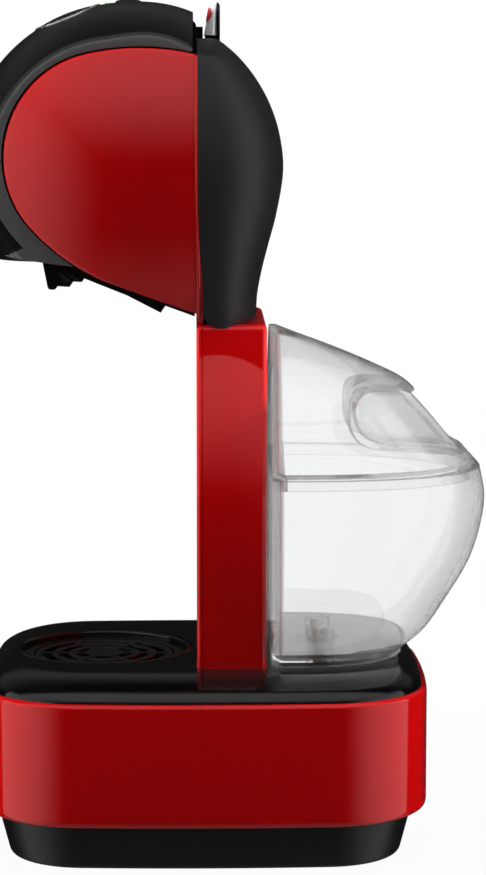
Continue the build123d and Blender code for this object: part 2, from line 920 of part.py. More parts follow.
def badge_prism(shrink):
    turn = math.radians(badge_angle)
    direction = Vector(math.cos(turn), 0, math.sin(turn))
    middle = Vector(head_x, 0, head_z) + direction * (head_radius / 2)
    face = Plane(origin=middle, x_dir=(0, 1, 0), z_dir=direction)
    oval = Ellipse(badge_half_width - shrink, badge_half_length - shrink)
    return extrude(face * oval, amount=head_radius)


def badge_layer(thickness):
    return crown(head_radius + thickness) - crown(head_radius)


def badge_ring():
    return badge_layer(badge_thickness) & (badge_prism(0) - badge_prism(badge_ring_width))


def badge_plate():
    return badge_layer(badge_thickness / 2) & badge_prism(badge_ring_width)


# Hot and cold lever
def lever_form():
    foot_z = lever_z + lever_drum - lever_nose
    top_z = lever_z + lever_top
    front_low = (lever_front - lever_nose, foot_z + 2 * lever_nose)
    front_top = (lever_front + lever_lean - lever_nose, top_z - lever_crest)
    crest = (lever_front + lever_lean + lever_crest, top_z)
    rear_top = (lever_rear + lever_heel, top_z - lever_root)
    outline = Polyline(front_low, front_top)
    outline += ThreePointArc(front_top, crest, rear_top)
    root_z = foot_z - lever_root
    outline += Polyline(rear_top, (lever_rear, root_z), (lever_front, root_z), front_low)
    return side_prism(make_face(outline), -lever_half, lever_half)


def lever_front_side():
    top_z = lever_z + lever_top
    foot_z = lever_z + lever_drum + lever_nose
    front = lever_front - lever_drum
    above = top_z + lever_drum
    face = make_face(Polyline((front, foot_z), (front, above), (lever_rear, above),
                              (lever_rear - lever_heel, top_z - lever_crest),
                              (lever_front + lever_cap_split, foot_z), close=True))
    return side_prism(face, -2 * lever_half, 2 * lever_half)


def lever_paddle():
    height = 2 * lever_drum
    middle_z = lever_z + lever_top - height / 2
    front_view = Plane.YZ * RectangleRounded(2 * lever_half, height, lever_corner)
    return lever_form() & extrude(Pos(-far / 2, 0, middle_z) * front_view, amount=far)


def lever_body():
    drum = rod_x(0, lever_z, lever_drum, lever_front, lever_rear)
    drum &= block(-far, far, -far, far, lever_z - 2 * lever_pin_radius, lever_z + far)
    body = drum + (lever_paddle() - lever_front_side())
    pin_room = lever_pin_radius + bore_clearance
    return body - rod_x(0, lever_z, pin_room, lever_front - over, lever_rear + over)


def lever_cap():
    cap = lever_paddle() & lever_front_side()
    cap -= rod_x(0, lever_z, lever_drum, lever_front, lever_rear)
    for side in (-1, 1):
        cap -= mark_rod(side)
    return cap


def mark_rod(side):
    z = lever_z + mark_rise
    lean = lever_lean / (lever_top - lever_crest - lever_drum - lever_nose)
    x = lever_front - lever_nose + lean * (mark_rise - lever_drum - lever_nose)
    rod = rod_x(0, 0, mark_radius, -mark_depth, mark_depth)
    return Pos(x, side * mark_y, z) * Rot(0, math.degrees(math.atan(lean)), 0) * rod


def lever_mark(side):
    return mark_rod(side) & lever_paddle()


def lever_pin():
    pin = rod_x(0, lever_z, lever_pin_radius, column_front, lever_pin_end)
    return pin + rod_x(0, lever_z, lever_pin_head, lever_rear + slip, lever_pin_end)


def selector_valve():
    low = lever_z - valve_low
    body = block(bulkhead_x, valve_rear, -valve_half, valve_half, low, lever_z - valve_high)
    return body + post((bulkhead_x + valve_rear) / 2, 0, valve_spout, low - valve_spout_drop, low)


# Brewing unit
def thermo_port_z():
    return shelf_z + shelf_thickness + thermo_height / 2


def thermoblock():
    z0 = shelf_z + shelf_thickness
    body = block(thermo_front, thermo_rear, -thermo_half, thermo_half, z0, z0 + thermo_height)
    body = fillet(body.edges().filter_by(Axis.Z), thermo_round)
    pitch = 2 * thermo_half / thermo_ribs
    for step in range(thermo_ribs - 1):
        y = -thermo_half + pitch * (step + 1)
        groove = block(thermo_front - over, thermo_rear + over, y - thermo_rib / 2, y + thermo_rib / 2,
                       z0 + thermo_height - thermo_rib, z0 + thermo_height + over)
        body -= groove
    return body


def thermostat():
    z0 = shelf_z + shelf_thickness + thermo_height
    x = (thermo_front + thermo_rear) / 2
    body = post(x, 0, thermostat_radius, z0, z0 + thermostat_height)
    half_x = thermostat_tab / 2
    half_y = thermostat_tab_width / 2
    top = z0 + thermostat_height + thermostat_tab_rise
    return body + block(x - half_x, x + half_x, -half_y, half_y, z0, top)


def injector_plate():
    plate = post(pod_x, 0, injector_radius, injector_z, injector_z + injector_thickness)
    plate = fillet(plate.edges().sort_by(Axis.Z)[-1], injector_round)
    for side in (-1, 1):
        y = side * injector_guide_y
        plate += post(pod_x, y, injector_guide, injector_z, shelf_z + 2 * shelf_thickness)
    plate += post(pod_x, 0, needle_collar, injector_z, shelf_z + 2 * shelf_thickness)
    return plate - post(pod_x, 0, needle_radius, injector_z - over, shelf_z + 3 * shelf_thickness)


def injector_needle():
    low = tray_z + tray_thickness + needle_clearance
    tip = Pos(pod_x, 0, low + needle_radius) * Cone(needle_radius / 4, needle_radius, 2 * needle_radius)
    return tip + post(pod_x, 0, needle_radius, low + 2 * needle_radius, shelf_z)


def injector_seal():
    z = injector_z - seal_height
    seal = post(pod_x, 0, injector_seal_radius, z, injector_z)
    return seal - post(pod_x, 0, injector_seal_radius - seal_width, z - over, injector_z + over)


def holder_front_face():
    top = parting_z - part_line
    arc_top = (head_x + cheek_top - part_line, top)
    curve = from_head(cheek_curve)
    tip = from_head(cheek_tip)
    toe = from_head(cheek_toe)
    outline = ThreePointArc(arc_top, (curve[0] - part_line, curve[1]), (tip[0] - 2 * part_line, tip[1]))
    outline += Polyline((tip[0] - 2 * part_line, tip[1]), (toe[0] - part_line, toe[1]),
                        (head_x - head_radius, toe[1]), (head_x - head_radius - over, top), arc_top)
    return make_face(outline)


def capsule_holder():
    holder = (head_skin() - head_core()) & side_prism(holder_front_face(), -far / 2, far / 2)
    low = head_z + pod_low
    top = tray_z + tray_thickness
    front_inside = crown(head_radius - wall / 2) & facet_slab(wall / 2)
    tray_end = pod_x + pod_radius + pod_wall
    tray = block(head_x - head_radius, tray_end, -tray_half, tray_half, tray_z + slip, top)
    holder += tray & front_inside
    cup = post(pod_x, 0, pod_radius + pod_wall, low, top)
    holder += cup
    spout = block(spout_front, spout_rear, -spout_half, spout_half, low - spout_drop, low + pod_floor / 2)
    holder += fillet(spout.edges().filter_by(Axis.Y), spout_round)
    holder -= post(pod_x, 0, pod_radius, low + pod_floor, top + over)
    holder -= post(pod_x, 0, outlet_bore, low - 2 * spout_drop, top)
    return holder


# Tank
def level_forms(levels, z0, inset):
    front = tank_front + inset
    return [d_section(front, tank_front + depth - inset, half - inset, tank_fullness, z0 + rise)
            for rise, depth, half in levels]


def tank_body():
    body = loft(level_forms(tank_levels, tank_z, 0))
    inside = loft(level_forms(tank_levels, tank_z, tank_wall))
    inside &= block(0, far, -far, far, tank_z + tank_wall, far)
    body -= inside
    front = tank_front + wall
    rear = tank_front + tank_skirt_depth
    skirt = block(tank_front, rear, -tank_skirt_half, tank_skirt_half, deck_z, tank_z + wall / 2)
    skirt -= block(front, rear - wall, -tank_skirt_half + wall, tank_skirt_half - wall,
                   deck_z - over, tank_z + wall)
    body += skirt
    return body - post(inlet_x, inlet_y, valve_hole, tank_z - over, tank_z + 2 * tank_wall)


def pocket_profile(grow):
    top = seam_z + pocket_top + grow
    low = seam_z + pocket_low - grow
    front = tank_front + pocket_depth - grow
    nose = pocket_nose + grow
    rear = tank_rear + pocket_nose
    outline = Polyline((front + nose, top), (rear, top), (rear, low))
    outline += Line((rear, low), (front + nose, low + pocket_slope))
    outline += ThreePointArc((front + nose, low + pocket_slope), (front, (top + low + pocket_slope) / 2),
                             (front + nose, top))
    return side_prism(make_face(outline), -pocket_half - grow, pocket_half + grow)


def tank_lid():
    outer = loft(level_forms(lid_levels, seam_z, 0))
    inside = loft(level_forms(lid_levels[:-1], seam_z - lid_wall, lid_wall))
    lid = outer - inside
    lid += pocket_profile(lid_wall) & outer
    lid -= pocket_profile(0)
    inset = tank_wall + slip
    rim = level_forms(tank_levels[-1:], tank_z, inset)[0]
    core = level_forms(tank_levels[-1:], tank_z, inset + lid_spigot_wall)[0]
    spigot = extrude(rim, amount=lid_wall) + extrude(rim, amount=-lid_spigot)
    spigot -= extrude(core, amount=2 * lid_wall) + extrude(core, amount=-2 * lid_spigot)
    return lid + (spigot & (outer + block(0, far, -far, far, seam_z - far, seam_z)))


def tank_valve():
    z0 = tank_z + tank_wall
    body = post(inlet_x, inlet_y, valve_flange, z0, z0 + valve_flange_height)
    body += post(inlet_x, inlet_y, valve_hole - bore_clearance, tank_z, z0 + valve_height)
    bore = stem_collar + bore_clearance
    body -= post(inlet_x, inlet_y, bore, z0, z0 + valve_height - wall)
    stem_room = stem_radius + bore_clearance
    return body - post(inlet_x, inlet_y, stem_room, tank_z - over, z0 + valve_height + over)


def valve_stem():
    z0 = tank_z + tank_wall
    stem = post(inlet_x, inlet_y, stem_radius, tank_z, z0 + valve_height)
    return stem + post(inlet_x, inlet_y, stem_collar, z0, z0 + stem_collar_height)


nodes = {
    "base_pan": base_pan, "rubber_feet": rubber_feet, "base_screws": base_screws, "base_band": base_band,
    "base_top": base_top, "drip_well": drip_well, "drip_bowl": drip_bowl, "drip_grid": drip_grid,
    "cord_gland": cord_gland,
    "pump_body": pump_body, "pump_outlet": pump_outlet, "pump_mounts": pump_mounts,
    "suction_hose": suction_hose, "pressure_hose": pressure_hose, "tank_inlet": tank_inlet,
    "inlet_seal": inlet_seal, "column_shell": column_shell, "column_back": column_back,
    "column_screws": column_screws, "control_board": control_board, "head_bulkhead": head_bulkhead,
    "head_frame": head_frame, "head_cowl": head_cowl, "side_panel_right": side_panel,
    "side_panel_left": lambda: mirrored(side_panel()), "rear_shell": rear_shell, "head_floor": head_floor,
    "cheek_right": cheek, "cheek_left": lambda: mirrored(cheek()), "locking_handle": locking_handle,
    "handle_pin": handle_pin, "badge_ring": badge_ring, "badge_plate": badge_plate,
    "power_button": power_button, "status_lens": status_lens, "button_board": button_board,
    "lever_body": lever_body, "lever_cap": lever_cap, "lever_pin": lever_pin,
    "hot_mark": lambda: lever_mark(-1), "cold_mark": lambda: lever_mark(1),
    "selector_valve": selector_valve, "thermoblock": thermoblock, "thermostat": thermostat,
    "injector_plate": injector_plate,
    "injector_needle": injector_needle, "injector_seal": injector_seal, "capsule_holder": capsule_holder,
    "tank_body": tank_body, "tank_lid": tank_lid, "tank_valve": tank_valve, "valve_stem": valve_stem,
}

os.makedirs("parts", exist_ok=True)
for name, make in nodes.items():
    piece = make()
    solids = piece if isinstance(piece, list) else piece.solids()
    shifted = [Pos(origin_shift, 0, 0) * solid for solid in solids]
    export_step(Compound(children=shifted), f"parts/{name}.step")
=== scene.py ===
# Pod coffee machine: the looks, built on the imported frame. Sizes below are millimetres.
import bpy
import bmesh
import math
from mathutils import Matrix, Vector


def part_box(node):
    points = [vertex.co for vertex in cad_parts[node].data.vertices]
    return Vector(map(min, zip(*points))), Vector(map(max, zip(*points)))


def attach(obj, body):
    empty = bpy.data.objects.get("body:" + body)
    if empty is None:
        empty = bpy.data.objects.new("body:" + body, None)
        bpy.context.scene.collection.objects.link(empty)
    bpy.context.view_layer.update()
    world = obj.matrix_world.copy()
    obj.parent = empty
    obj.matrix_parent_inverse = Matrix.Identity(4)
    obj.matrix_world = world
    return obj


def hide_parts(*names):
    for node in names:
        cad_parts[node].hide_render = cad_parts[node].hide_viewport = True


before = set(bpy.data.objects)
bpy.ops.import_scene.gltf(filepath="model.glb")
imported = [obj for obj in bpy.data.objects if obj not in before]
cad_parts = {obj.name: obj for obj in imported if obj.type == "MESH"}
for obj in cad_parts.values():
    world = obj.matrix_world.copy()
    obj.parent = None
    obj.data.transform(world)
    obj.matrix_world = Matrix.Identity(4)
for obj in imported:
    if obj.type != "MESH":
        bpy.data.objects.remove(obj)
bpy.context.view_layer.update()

mm = 0.001
bandLow, bandHigh = [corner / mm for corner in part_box("base_band")]
midX = (bandLow.x + bandHigh.x) / 2   # places along X are counted from the base's middle
rimZ = bandHigh.z
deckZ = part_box("drip_well")[1].z / mm
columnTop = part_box("column_shell")[1].z / mm

head = {"x": -30.0, "rise": 58.2, "radius": 63.0}   # axis and crown of the round head
headZ = columnTop + head["rise"]


def at(x, y, z):
    return ((midX + x) * mm, y * mm, z * mm)


# Node maths as expressions
def maths(operation, reflected=False):
    def apply(self, other):
        pair = (other, self) if reflected else (self, other)
        return self.nodes.node("ShaderNodeMath", {"operation": operation}, dict(enumerate(pair)))

    return apply


class Wire:
    __add__, __radd__ = maths("ADD"), maths("ADD", reflected=True)
    __sub__, __rsub__ = maths("SUBTRACT"), maths("SUBTRACT", reflected=True)
    __mul__, __rmul__ = maths("MULTIPLY"), maths("MULTIPLY", reflected=True)
    __pow__, __rtruediv__ = maths("POWER"), maths("DIVIDE", reflected=True)
    __gt__ = maths("GREATER_THAN")

    def __init__(self, nodes, socket):
        self.nodes = nodes
        self.socket = socket


class Nodes:
    def __init__(self, tree):
        self.tree = tree

    def feed(self, socket, value):
        if isinstance(value, Wire):
            self.tree.links.new(value.socket, socket)
        else:
            socket.default_value = value

    def node(self, kind, settings, sockets, output=0):
        made = self.tree.nodes.new(kind)
        for key, value in settings.items():
            setattr(made, key, value)
        for key, value in sockets.items():
            self.feed(made.inputs[key], value)
        return Wire(self, made.outputs[output])

    def parts(self, vector, names):
        return [self.node("ShaderNodeSeparateXYZ", {}, {0: vector}, name) for name in names]

    def vector(self, x=0.0, y=0.0, z=0.0):
        return self.node("ShaderNodeCombineXYZ", {}, {0: x, 1: y, 2: z})

    def largest(self, first, second):
        return self.node("ShaderNodeMath", {"operation": "MAXIMUM"}, {0: first, 1: second})

    def between(self, share, first, second):
        return self.node("ShaderNodeMix", {"data_type": "RGBA"}, {0: share, 6: first, 7: second}, 2)

    def eased(self, value, low, high):
        smooth = {"interpolation_type": "SMOOTHSTEP"}
        return self.node("ShaderNodeMapRange", smooth, {0: value, 1: low, 2: high})

    def ray(self, name):
        return self.node("ShaderNodeLightPath", {}, {}, name)

    def seen(self):
        # rays from the camera, also after they have passed through clear plastic
        passed = self.ray("Transmission Depth") > 0.5
        mirrored = self.ray("Glossy Depth") > 0.5
        return self.largest(self.ray("Is Camera Ray"), passed * (1 - 0.5 * mirrored))


class Paint(Nodes):
    def __init__(self, name, sockets):
        self.material = bpy.data.materials.new(name)
        self.material.use_nodes = True
        super().__init__(self.material.node_tree)
        self.shader = self.tree.nodes["Principled BSDF"]
        self.set(sockets)

    def set(self, sockets):
        for key, value in sockets.items():
            self.feed(self.shader.inputs[key], value)

    def place(self):
        return self.node("ShaderNodeTexCoord", {}, {}, "Object")

    def noise(self, grain):
        scale = 1 / (grain * mm)
        return self.node("ShaderNodeTexNoise", {}, {"Vector": self.place(), "Scale": scale, "Detail": 2.0})

    def bump(self, grain, depth, strength):
        sockets = {"Strength": strength, "Distance": depth * mm, "Height": self.noise(grain)}
        self.set({"Normal": self.node("ShaderNodeBump", {}, sockets)})


def rgba(red, green, blue):
    return (red, green, blue, 1.0)


# Finishes: two shades in soft clouds of a size, roughness (least, spread, grain of its noise) and, where the
# surface has one, a fine bump (grain, depth, strength). "even" is what stays the same all over.
gloss = {"IOR": 1.46, "Specular IOR Level": 0.5}
coats = {
    "redGloss": {"shades": ((0.42, 0.0006, 0.001), (0.46, 0.001, 0.002)), "cloud": 38,
                 "rough": (0.07, 0.04, 6), "bump": (1.6, 0.004, 0.1), "even": gloss},
    # the column's colour is set further down: red painted lighter towards the top, a painted highlight
    "redColumn": {"rough": (0.07, 0.04, 6), "even": gloss},
    "bulkheadTwoTone": {"rough": (0.12, 0.05, 5), "even": {"IOR": 1.46, "Specular IOR Level": 0.4}},
    "blackGloss": {"shades": ((0.002, 0.002, 0.0023), (0.0035, 0.0035, 0.0038)), "cloud": 20,
                   "rough": (0.06, 0.05, 9), "bump": (2.0, 0.004, 0.1), "even": gloss},
    "visorSatin": {"shades": ((0.0035, 0.0035, 0.004), (0.0055, 0.0055, 0.006)), "cloud": 14,
                   "rough": (0.27, 0.06, 3), "bump": (0.35, 0.02, 0.18),
                   "even": {"Specular IOR Level": 0.42}},
    "facetGrey": {"shades": ((0.075, 0.0755, 0.076), (0.09, 0.0905, 0.091)), "cloud": 9,
                  "rough": (0.42, 0.08, 2), "bump": (0.3, 0.02, 0.2), "even": {"Specular IOR Level": 0.4}},
    "shellSoft": {"shades": ((0.009, 0.009, 0.0095), (0.0125, 0.0125, 0.013)), "cloud": 25,
                  "rough": (0.46, 0.08, 1.2), "bump": (0.3, 0.03, 0.25),
                  "even": {"Specular IOR Level": 0.35}},
    "panBlack": {"shades": ((0.002, 0.002, 0.0022), (0.0035, 0.0035, 0.0038)), "cloud": 12,
                 "rough": (0.3, 0.1, 1.0), "bump": (0.4, 0.03, 0.2), "even": {"Specular IOR Level": 0.32}},
    "badgeDark": {"shades": ((0.008, 0.008, 0.009), (0.013, 0.013, 0.014)), "cloud": 4,
                  "rough": (0.2, 0.08, 1), "even": {"Specular IOR Level": 0.4}},
    "rubberBlack": {"shades": ((0.012, 0.012, 0.012), (0.02, 0.02, 0.02)), "cloud": 2,
                    "rough": (0.7, 0.15, 0.8), "bump": (0.5, 0.05, 0.4), "even": {"Specular IOR Level": 0.3}},
    "clearPlastic": {"rough": (0.012, 0.02, 30),
                     "even": {"Base Color": rgba(0.94, 0.945, 0.945), "IOR": 1.28, "Alpha": 0.8,
                              "Transmission Weight": 1.0}},
    "frostClear": {"rough": (0.3, 0.1, 3), "bump": (0.5, 0.03, 0.3),
                   "even": {"Base Color": rgba(0.9, 0.905, 0.905), "IOR": 1.3, "Alpha": 0.95,
                            "Transmission Weight": 0.25}},
    "smokeClear": {"rough": (0.04, 0.04, 12),
                   "even": {"Base Color": rgba(0.84, 0.845, 0.85), "IOR": 1.2, "Alpha": 0.6,
                            "Transmission Weight": 1.0}},
    "ringSilver": {"shades": ((0.5, 0.5, 0.51), (0.6, 0.6, 0.6)), "cloud": 3,
                   "rough": (0.2, 0.08, 1.5), "even": {"Metallic": 0.8}},
    "leverSilver": {"shades": ((0.88, 0.88, 0.89), (0.95, 0.95, 0.95)), "cloud": 2,
                    "rough": (0.22, 0.08, 1.2), "even": {"Metallic": 0.25}},
    "plainSteel": {"shades": ((0.48, 0.48, 0.49), (0.6, 0.6, 0.6)), "cloud": 1.5,
                   "rough": (0.26, 0.14, 0.7), "even": {"Metallic": 1.0}},
    "castAluminium": {"shades": ((0.6, 0.6, 0.61), (0.72, 0.72, 0.72)), "cloud": 2,
                      "rough": (0.42, 0.15, 0.9), "bump": (0.8, 0.08, 0.4), "even": {"Metallic": 1.0}},
    "turnedBrass": {"shades": ((0.56, 0.38, 0.14), (0.66, 0.47, 0.2)), "cloud": 1.5,
                    "rough": (0.25, 0.12, 0.8), "even": {"Metallic": 1.0}},
    "mouldedGrey": {"shades": ((0.3, 0.3, 0.31), (0.37, 0.37, 0.37)), "cloud": 4,
                    "rough": (0.5, 0.12, 0.8), "bump": (0.5, 0.04, 0.3)},
    "milkyHose": {"shades": ((0.68, 0.67, 0.62), (0.78, 0.77, 0.73)), "cloud": 5,
                  "rough": (0.34, 0.1, 2), "even": {"Subsurface Weight": 0.2}},
    "boardGreen": {"shades": ((0.01, 0.1, 0.035), (0.02, 0.17, 0.06)), "cloud": 2.5, "rough": (0.35, 0.2, 1)},
    "lensGreen": {"shades": ((0.01, 0.4, 0.1), (0.03, 0.55, 0.16)), "cloud": 1, "rough": (0.12, 0.06, 0.6),
                  "even": {"Emission Color": rgba(0.03, 0.75, 0.2), "Emission Strength": 0.5}},
    "markRed": {"shades": ((0.6, 0.012, 0.012), (0.72, 0.02, 0.02)), "cloud": 0.6, "rough": (0.3, 0.1, 0.4)},
    "markBlue": {"shades": ((0.012, 0.09, 0.5), (0.02, 0.13, 0.62)), "cloud": 0.6, "rough": (0.3, 0.1, 0.4)},
}


def coat(name):
    row = coats[name]
    paint = Paint(name, row.get("even", {}))
    least, spread, grain = row["rough"]
    paint.set({"Roughness": least + spread * paint.noise(grain)})
    if "shades" in row:
        low, high = row["shades"]
        paint.set({"Base Color": paint.between(paint.noise(row["cloud"]), rgba(*low), rgba(*high))})
    if "bump" in row:
        paint.bump(*row["bump"])
    return paint


# heights from the deck up or from the column's top down; low and high are the red at the foot and at the top,
# painted lighter upwards as a painted highlight; the lit part, from the leaned normals, ends in an arch
# around middle
columnRedAndPaintedLight = {"low": (0.42, 0.0006, 0.001), "high": (0.76, 0.001, 0.003), "lighter": 20.0, "bow": 45.0,
             "bowFull": 18.0, "flat": 10.5, "flatFull": 12.0, "lean": 0.24, "middle": 5.0, "arch": 20.0}


def bowColumnAndPaintLight(paint):
    # red painted lighter upwards, a painted highlight, and shading normals that lean there as if the flat
    # faces bowed a little
    x, z = paint.parts(paint.place(), "XZ")
    # painted highlight: the red turns lighter from here up to the column's top
    rise = paint.eased(z, (deckZ + columnRedAndPaintedLight["lighter"]) * mm, columnTop * mm)
    paint.set({"Base Color": paint.between(rise, rgba(*columnRedAndPaintedLight["low"]), rgba(*columnRedAndPaintedLight["high"]))})
    along = x - (midX + columnRedAndPaintedLight["middle"]) * mm
    level = z + columnRedAndPaintedLight["arch"] * along * along
    bowFull, flat, flatFull = [(columnTop - columnRedAndPaintedLight[key]) * mm for key in ("bowFull", "flat", "flatFull")]
    bow = paint.eased(level, (deckZ + columnRedAndPaintedLight["bow"]) * mm, bowFull) * paint.eased(level, flat, flatFull)
    facing = paint.node("ShaderNodeNewGeometry", {}, {}, "Normal")
    tilt = paint.vector(z=bow * columnRedAndPaintedLight["lean"])
    leaned = paint.node("ShaderNodeVectorMath", {"operation": "ADD"}, {0: facing, 1: tilt})
    paint.set({"Normal": paint.node("ShaderNodeVectorMath", {"operation": "NORMALIZE"}, {0: leaned})})


bulkheadTones = {"split": 36.0, "low": (0.44, 0.001, 0.002), "high": (0.006, 0.006, 0.0065)}


def splitBulkhead(paint):
    # red round the side panels, black above their shoulders
    upper = paint.parts(paint.place(), "Z")[0] > (headZ + bulkheadTones["split"]) * mm
    low, high = bulkheadTones["low"], bulkheadTones["high"]
    paint.set({"Base Color": paint.between(upper, rgba(*low), rgba(*high))})


paints = {name: coat(name) for name in coats}
bowColumnAndPaintLight(paints["redColumn"])
splitBulkhead(paints["bulkheadTwoTone"])
finishes = {name: paint.material for name, paint in paints.items()}
print("finishes:", len(finishes))


# Mesh tools
def fullTurns(steps):
    return [2 * math.pi * k / steps for k in range(steps)]


def quarterTurns(steps):
    return [math.pi / 2 * k / steps for k in range(steps + 1)]


def ringMesh(name, rings, around=False, openRing=False):
    # each ring is joined to the next; the row of rings is closed around or capped at both ends
    count = len(rings[0])
    points = [at(*point) for ring in rings for point in ring]
    faces = []
    spans = len(rings) if around else len(rings) - 1
    steps = count - 1 if openRing else count
    for r in range(spans):
        low = r * count
        high = ((r + 1) % len(rings)) * count
        for k in range(steps):
            n = (k + 1) % count
            faces.append((low + k, low + n, high + n, high + k))
    if not around:
        faces.append(tuple(reversed(range(count))))
        faces.append(tuple(range((len(rings) - 1) * count, len(rings) * count)))
    mesh = bpy.data.meshes.new(name)
    mesh.from_pydata(points, [], faces)
    return mesh


def tidyMesh(mesh, sharpAngle=35):
    work = bmesh.new()
    work.from_mesh(mesh)
    bmesh.ops.remove_doubles(work, verts=work.verts, dist=0.004 * mm)
    bmesh.ops.recalc_face_normals(work, faces=work.faces)
    work.to_mesh(mesh)
    work.free()
    mesh.shade_smooth()
    mesh.set_sharp_from_angle(angle=math.radians(sharpAngle))
    return mesh


def newObject(name, data):
    made = bpy.data.objects.new(name, data)
    bpy.context.scene.collection.objects.link(made)
    return made


def finalMesh(carrier):
    # what the object's modifiers make of it; the object itself goes
    graph = bpy.context.evaluated_depsgraph_get()
    made = bpy.data.meshes.new_from_object(carrier.evaluated_get(graph))
    bpy.data.objects.remove(carrier)
    return made


def addPiece(name, mesh, finish, body, replaced=(), sharpAngle=35):
    tidyMesh(mesh, sharpAngle)
    piece = newObject(name, mesh)
    for each in [finish] if isinstance(finish, str) else finish:
        mesh.materials.append(finishes[each])
    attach(piece, body)
    if replaced:
        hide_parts(*replaced)
    return piece


def combine(mesh, other, operation):
    target, tool = newObject("combineTarget", mesh), newObject("combineTool", other)
    change = target.modifiers.new("combine", "BOOLEAN")
    change.operation = operation
    change.solver = "EXACT"
    change.object = tool
    made = finalMesh(target)
    bpy.data.objects.remove(tool)
    return made


def boxMesh(name, low, high):
    x0, y0, z0 = low
    x1, y1, z1 = high
    rings = [[(x0, y0, z), (x1, y0, z), (x1, y1, z), (x0, y1, z)] for z in (z0, z1)]
    return tidyMesh(ringMesh(name, rings))


def bend(first, corner, last, t):
    return first * (1 - t) ** 2 + corner * 2 * t * (1 - t) + last * t**2


def roundedPath(points, radii, steps=6):
    path = []
    for i, (point, radius) in enumerate(zip(points, radii)):
        corner = Vector(point)
        if radius <= 0 or i in (0, len(points) - 1):
            path.append(tuple(corner))
            continue
        back = (Vector(points[i - 1]) - corner).normalized()
        ahead = (Vector(points[i + 1]) - corner).normalized()
        reach = radius / math.tan(back.angle(ahead) / 2)
        first = corner + back * reach
        last = corner + ahead * reach
        path += [tuple(bend(first, corner, last, step / steps)) for step in range(steps + 1)]
    return path


def latheMesh(name, profile, x, steps, around=False):
    rings = []
    for turn in fullTurns(steps):
        rings.append([(x + r * math.cos(turn), r * math.sin(turn), z) for r, z in profile])
    return ringMesh(name, rings, around=True, openRing=not around)


def roundedRect(x0, x1, half, frontRound, rearRound, steps=8):
    front, rear = x0 + frontRound, x1 - rearRound
    corners = ((rear, half - rearRound, rearRound), (front, half - frontRound, frontRound),
               (front, -half + frontRound, frontRound), (rear, -half + rearRound, rearRound))
    ring = []
    for quarter, (cx, cy, radius) in enumerate(corners):
        for step in range(steps + 1):
            turn = math.radians(90 * quarter + 90 * step / steps)
            ring.append((cx + radius * math.cos(turn), cy + radius * math.sin(turn)))
    return ring


def eased(value, low, high):
    share = min(max((value - low) / (high - low), 0.0), 1.0)
    return share * share * (3 - 2 * share)


def through(levels, height, entry):
    # a smooth curve through the listed levels, with slopes from their neighbours
    last = len(levels) - 1
    i = 0
    while i < last - 1 and height > levels[i + 1][0]:
        i += 1
    slopes = []
    for k in (i, i + 1):
        before = levels[max(k - 1, 0)]
        after = levels[min(k + 1, last)]
        slopes.append((after[entry] - before[entry]) / (after[0] - before[0]))
    span = levels[i + 1][0] - levels[i][0]
    t = (height - levels[i][0]) / span
    first = levels[i][entry] * (1 + 2 * t) * (1 - t) ** 2 + slopes[0] * span * t * (1 - t) ** 2
    second = levels[i + 1][entry] * t * t * (3 - 2 * t) - slopes[1] * span * t * t * (1 - t)
    return first + second


# Base
base = {"length": 173.4, "width": 145.0, "corner": 40.0, "bow": 4.0, "endSteps": 10, "cornerSteps": 20,
        "sideSteps": 14}


def planArcs():
    # bowed sides and ends, with corner arcs that run smoothly into both
    halfLength = base["length"] / 2
    halfWidth = base["width"] / 2
    bow = base["bow"]
    x = halfLength - bow
    y = halfWidth - bow
    sideRadius = (x * x + bow * bow) / (2 * bow)
    endRadius = (y * y + bow * bow) / (2 * bow)
    side = Vector((0, halfWidth - sideRadius))
    end = Vector((halfLength - endRadius, 0))
    span = end - side
    reachSide = sideRadius - base["corner"]
    reachEnd = endRadius - base["corner"]
    along = (reachSide**2 - reachEnd**2 + span.length_squared) / (2 * span.length)
    across = math.sqrt(reachSide**2 - along**2)
    unit = span.normalized()
    corner = side + unit * along + Vector((unit.y, -unit.x)) * across
    return {"side": (side, sideRadius), "end": (end, endRadius), "corner": (corner, base["corner"]),
            "endTurn": math.atan2(corner.y - end.y, corner.x - end.x),
            "sideTurn": math.atan2(corner.y - side.y, corner.x - side.x)}


arcs = planArcs()


def planQuarter(inset):
    spans = (("end", 0.0, arcs["endTurn"], base["endSteps"]),
             ("corner", arcs["endTurn"], arcs["sideTurn"], base["cornerSteps"]),
             ("side", arcs["sideTurn"], math.pi / 2, base["sideSteps"]))
    points = []
    for name, first, last, steps in spans:
        middle, radius = arcs[name]
        for step in range(steps):
            turn = first + (last - first) * step / steps
            points.append((middle.x + (radius - inset) * math.cos(turn),
                           middle.y + (radius - inset) * math.sin(turn)))
    points.append((0.0, base["width"] / 2 - inset))
    return points


def planRing(inset, z):
    quarter = planQuarter(inset)
    ring = quarter + [(-x, y) for x, y in reversed(quarter[:-1])]
    ring += [(-x, -y) for x, y in quarter[1:]] + [(x, -y) for x, y in reversed(quarter[1:-1])]
    return [(x, y, z) for x, y in ring]


def planInset(x, y):
    # how far a place lies inside the plan's edge
    spot = Vector((abs(x), abs(y)))
    corner, cornerRadius = arcs["corner"]
    away = spot - corner
    turn = math.atan2(away.y, away.x)
    if arcs["endTurn"] <= turn <= arcs["sideTurn"]:
        return cornerRadius - away.length
    return min(radius - (spot - middle).length for middle, radius in (arcs["side"], arcs["end"]))


band = {"wall": 2.6, "low": 3.2, "high": 1.9, "flange": 9.2}


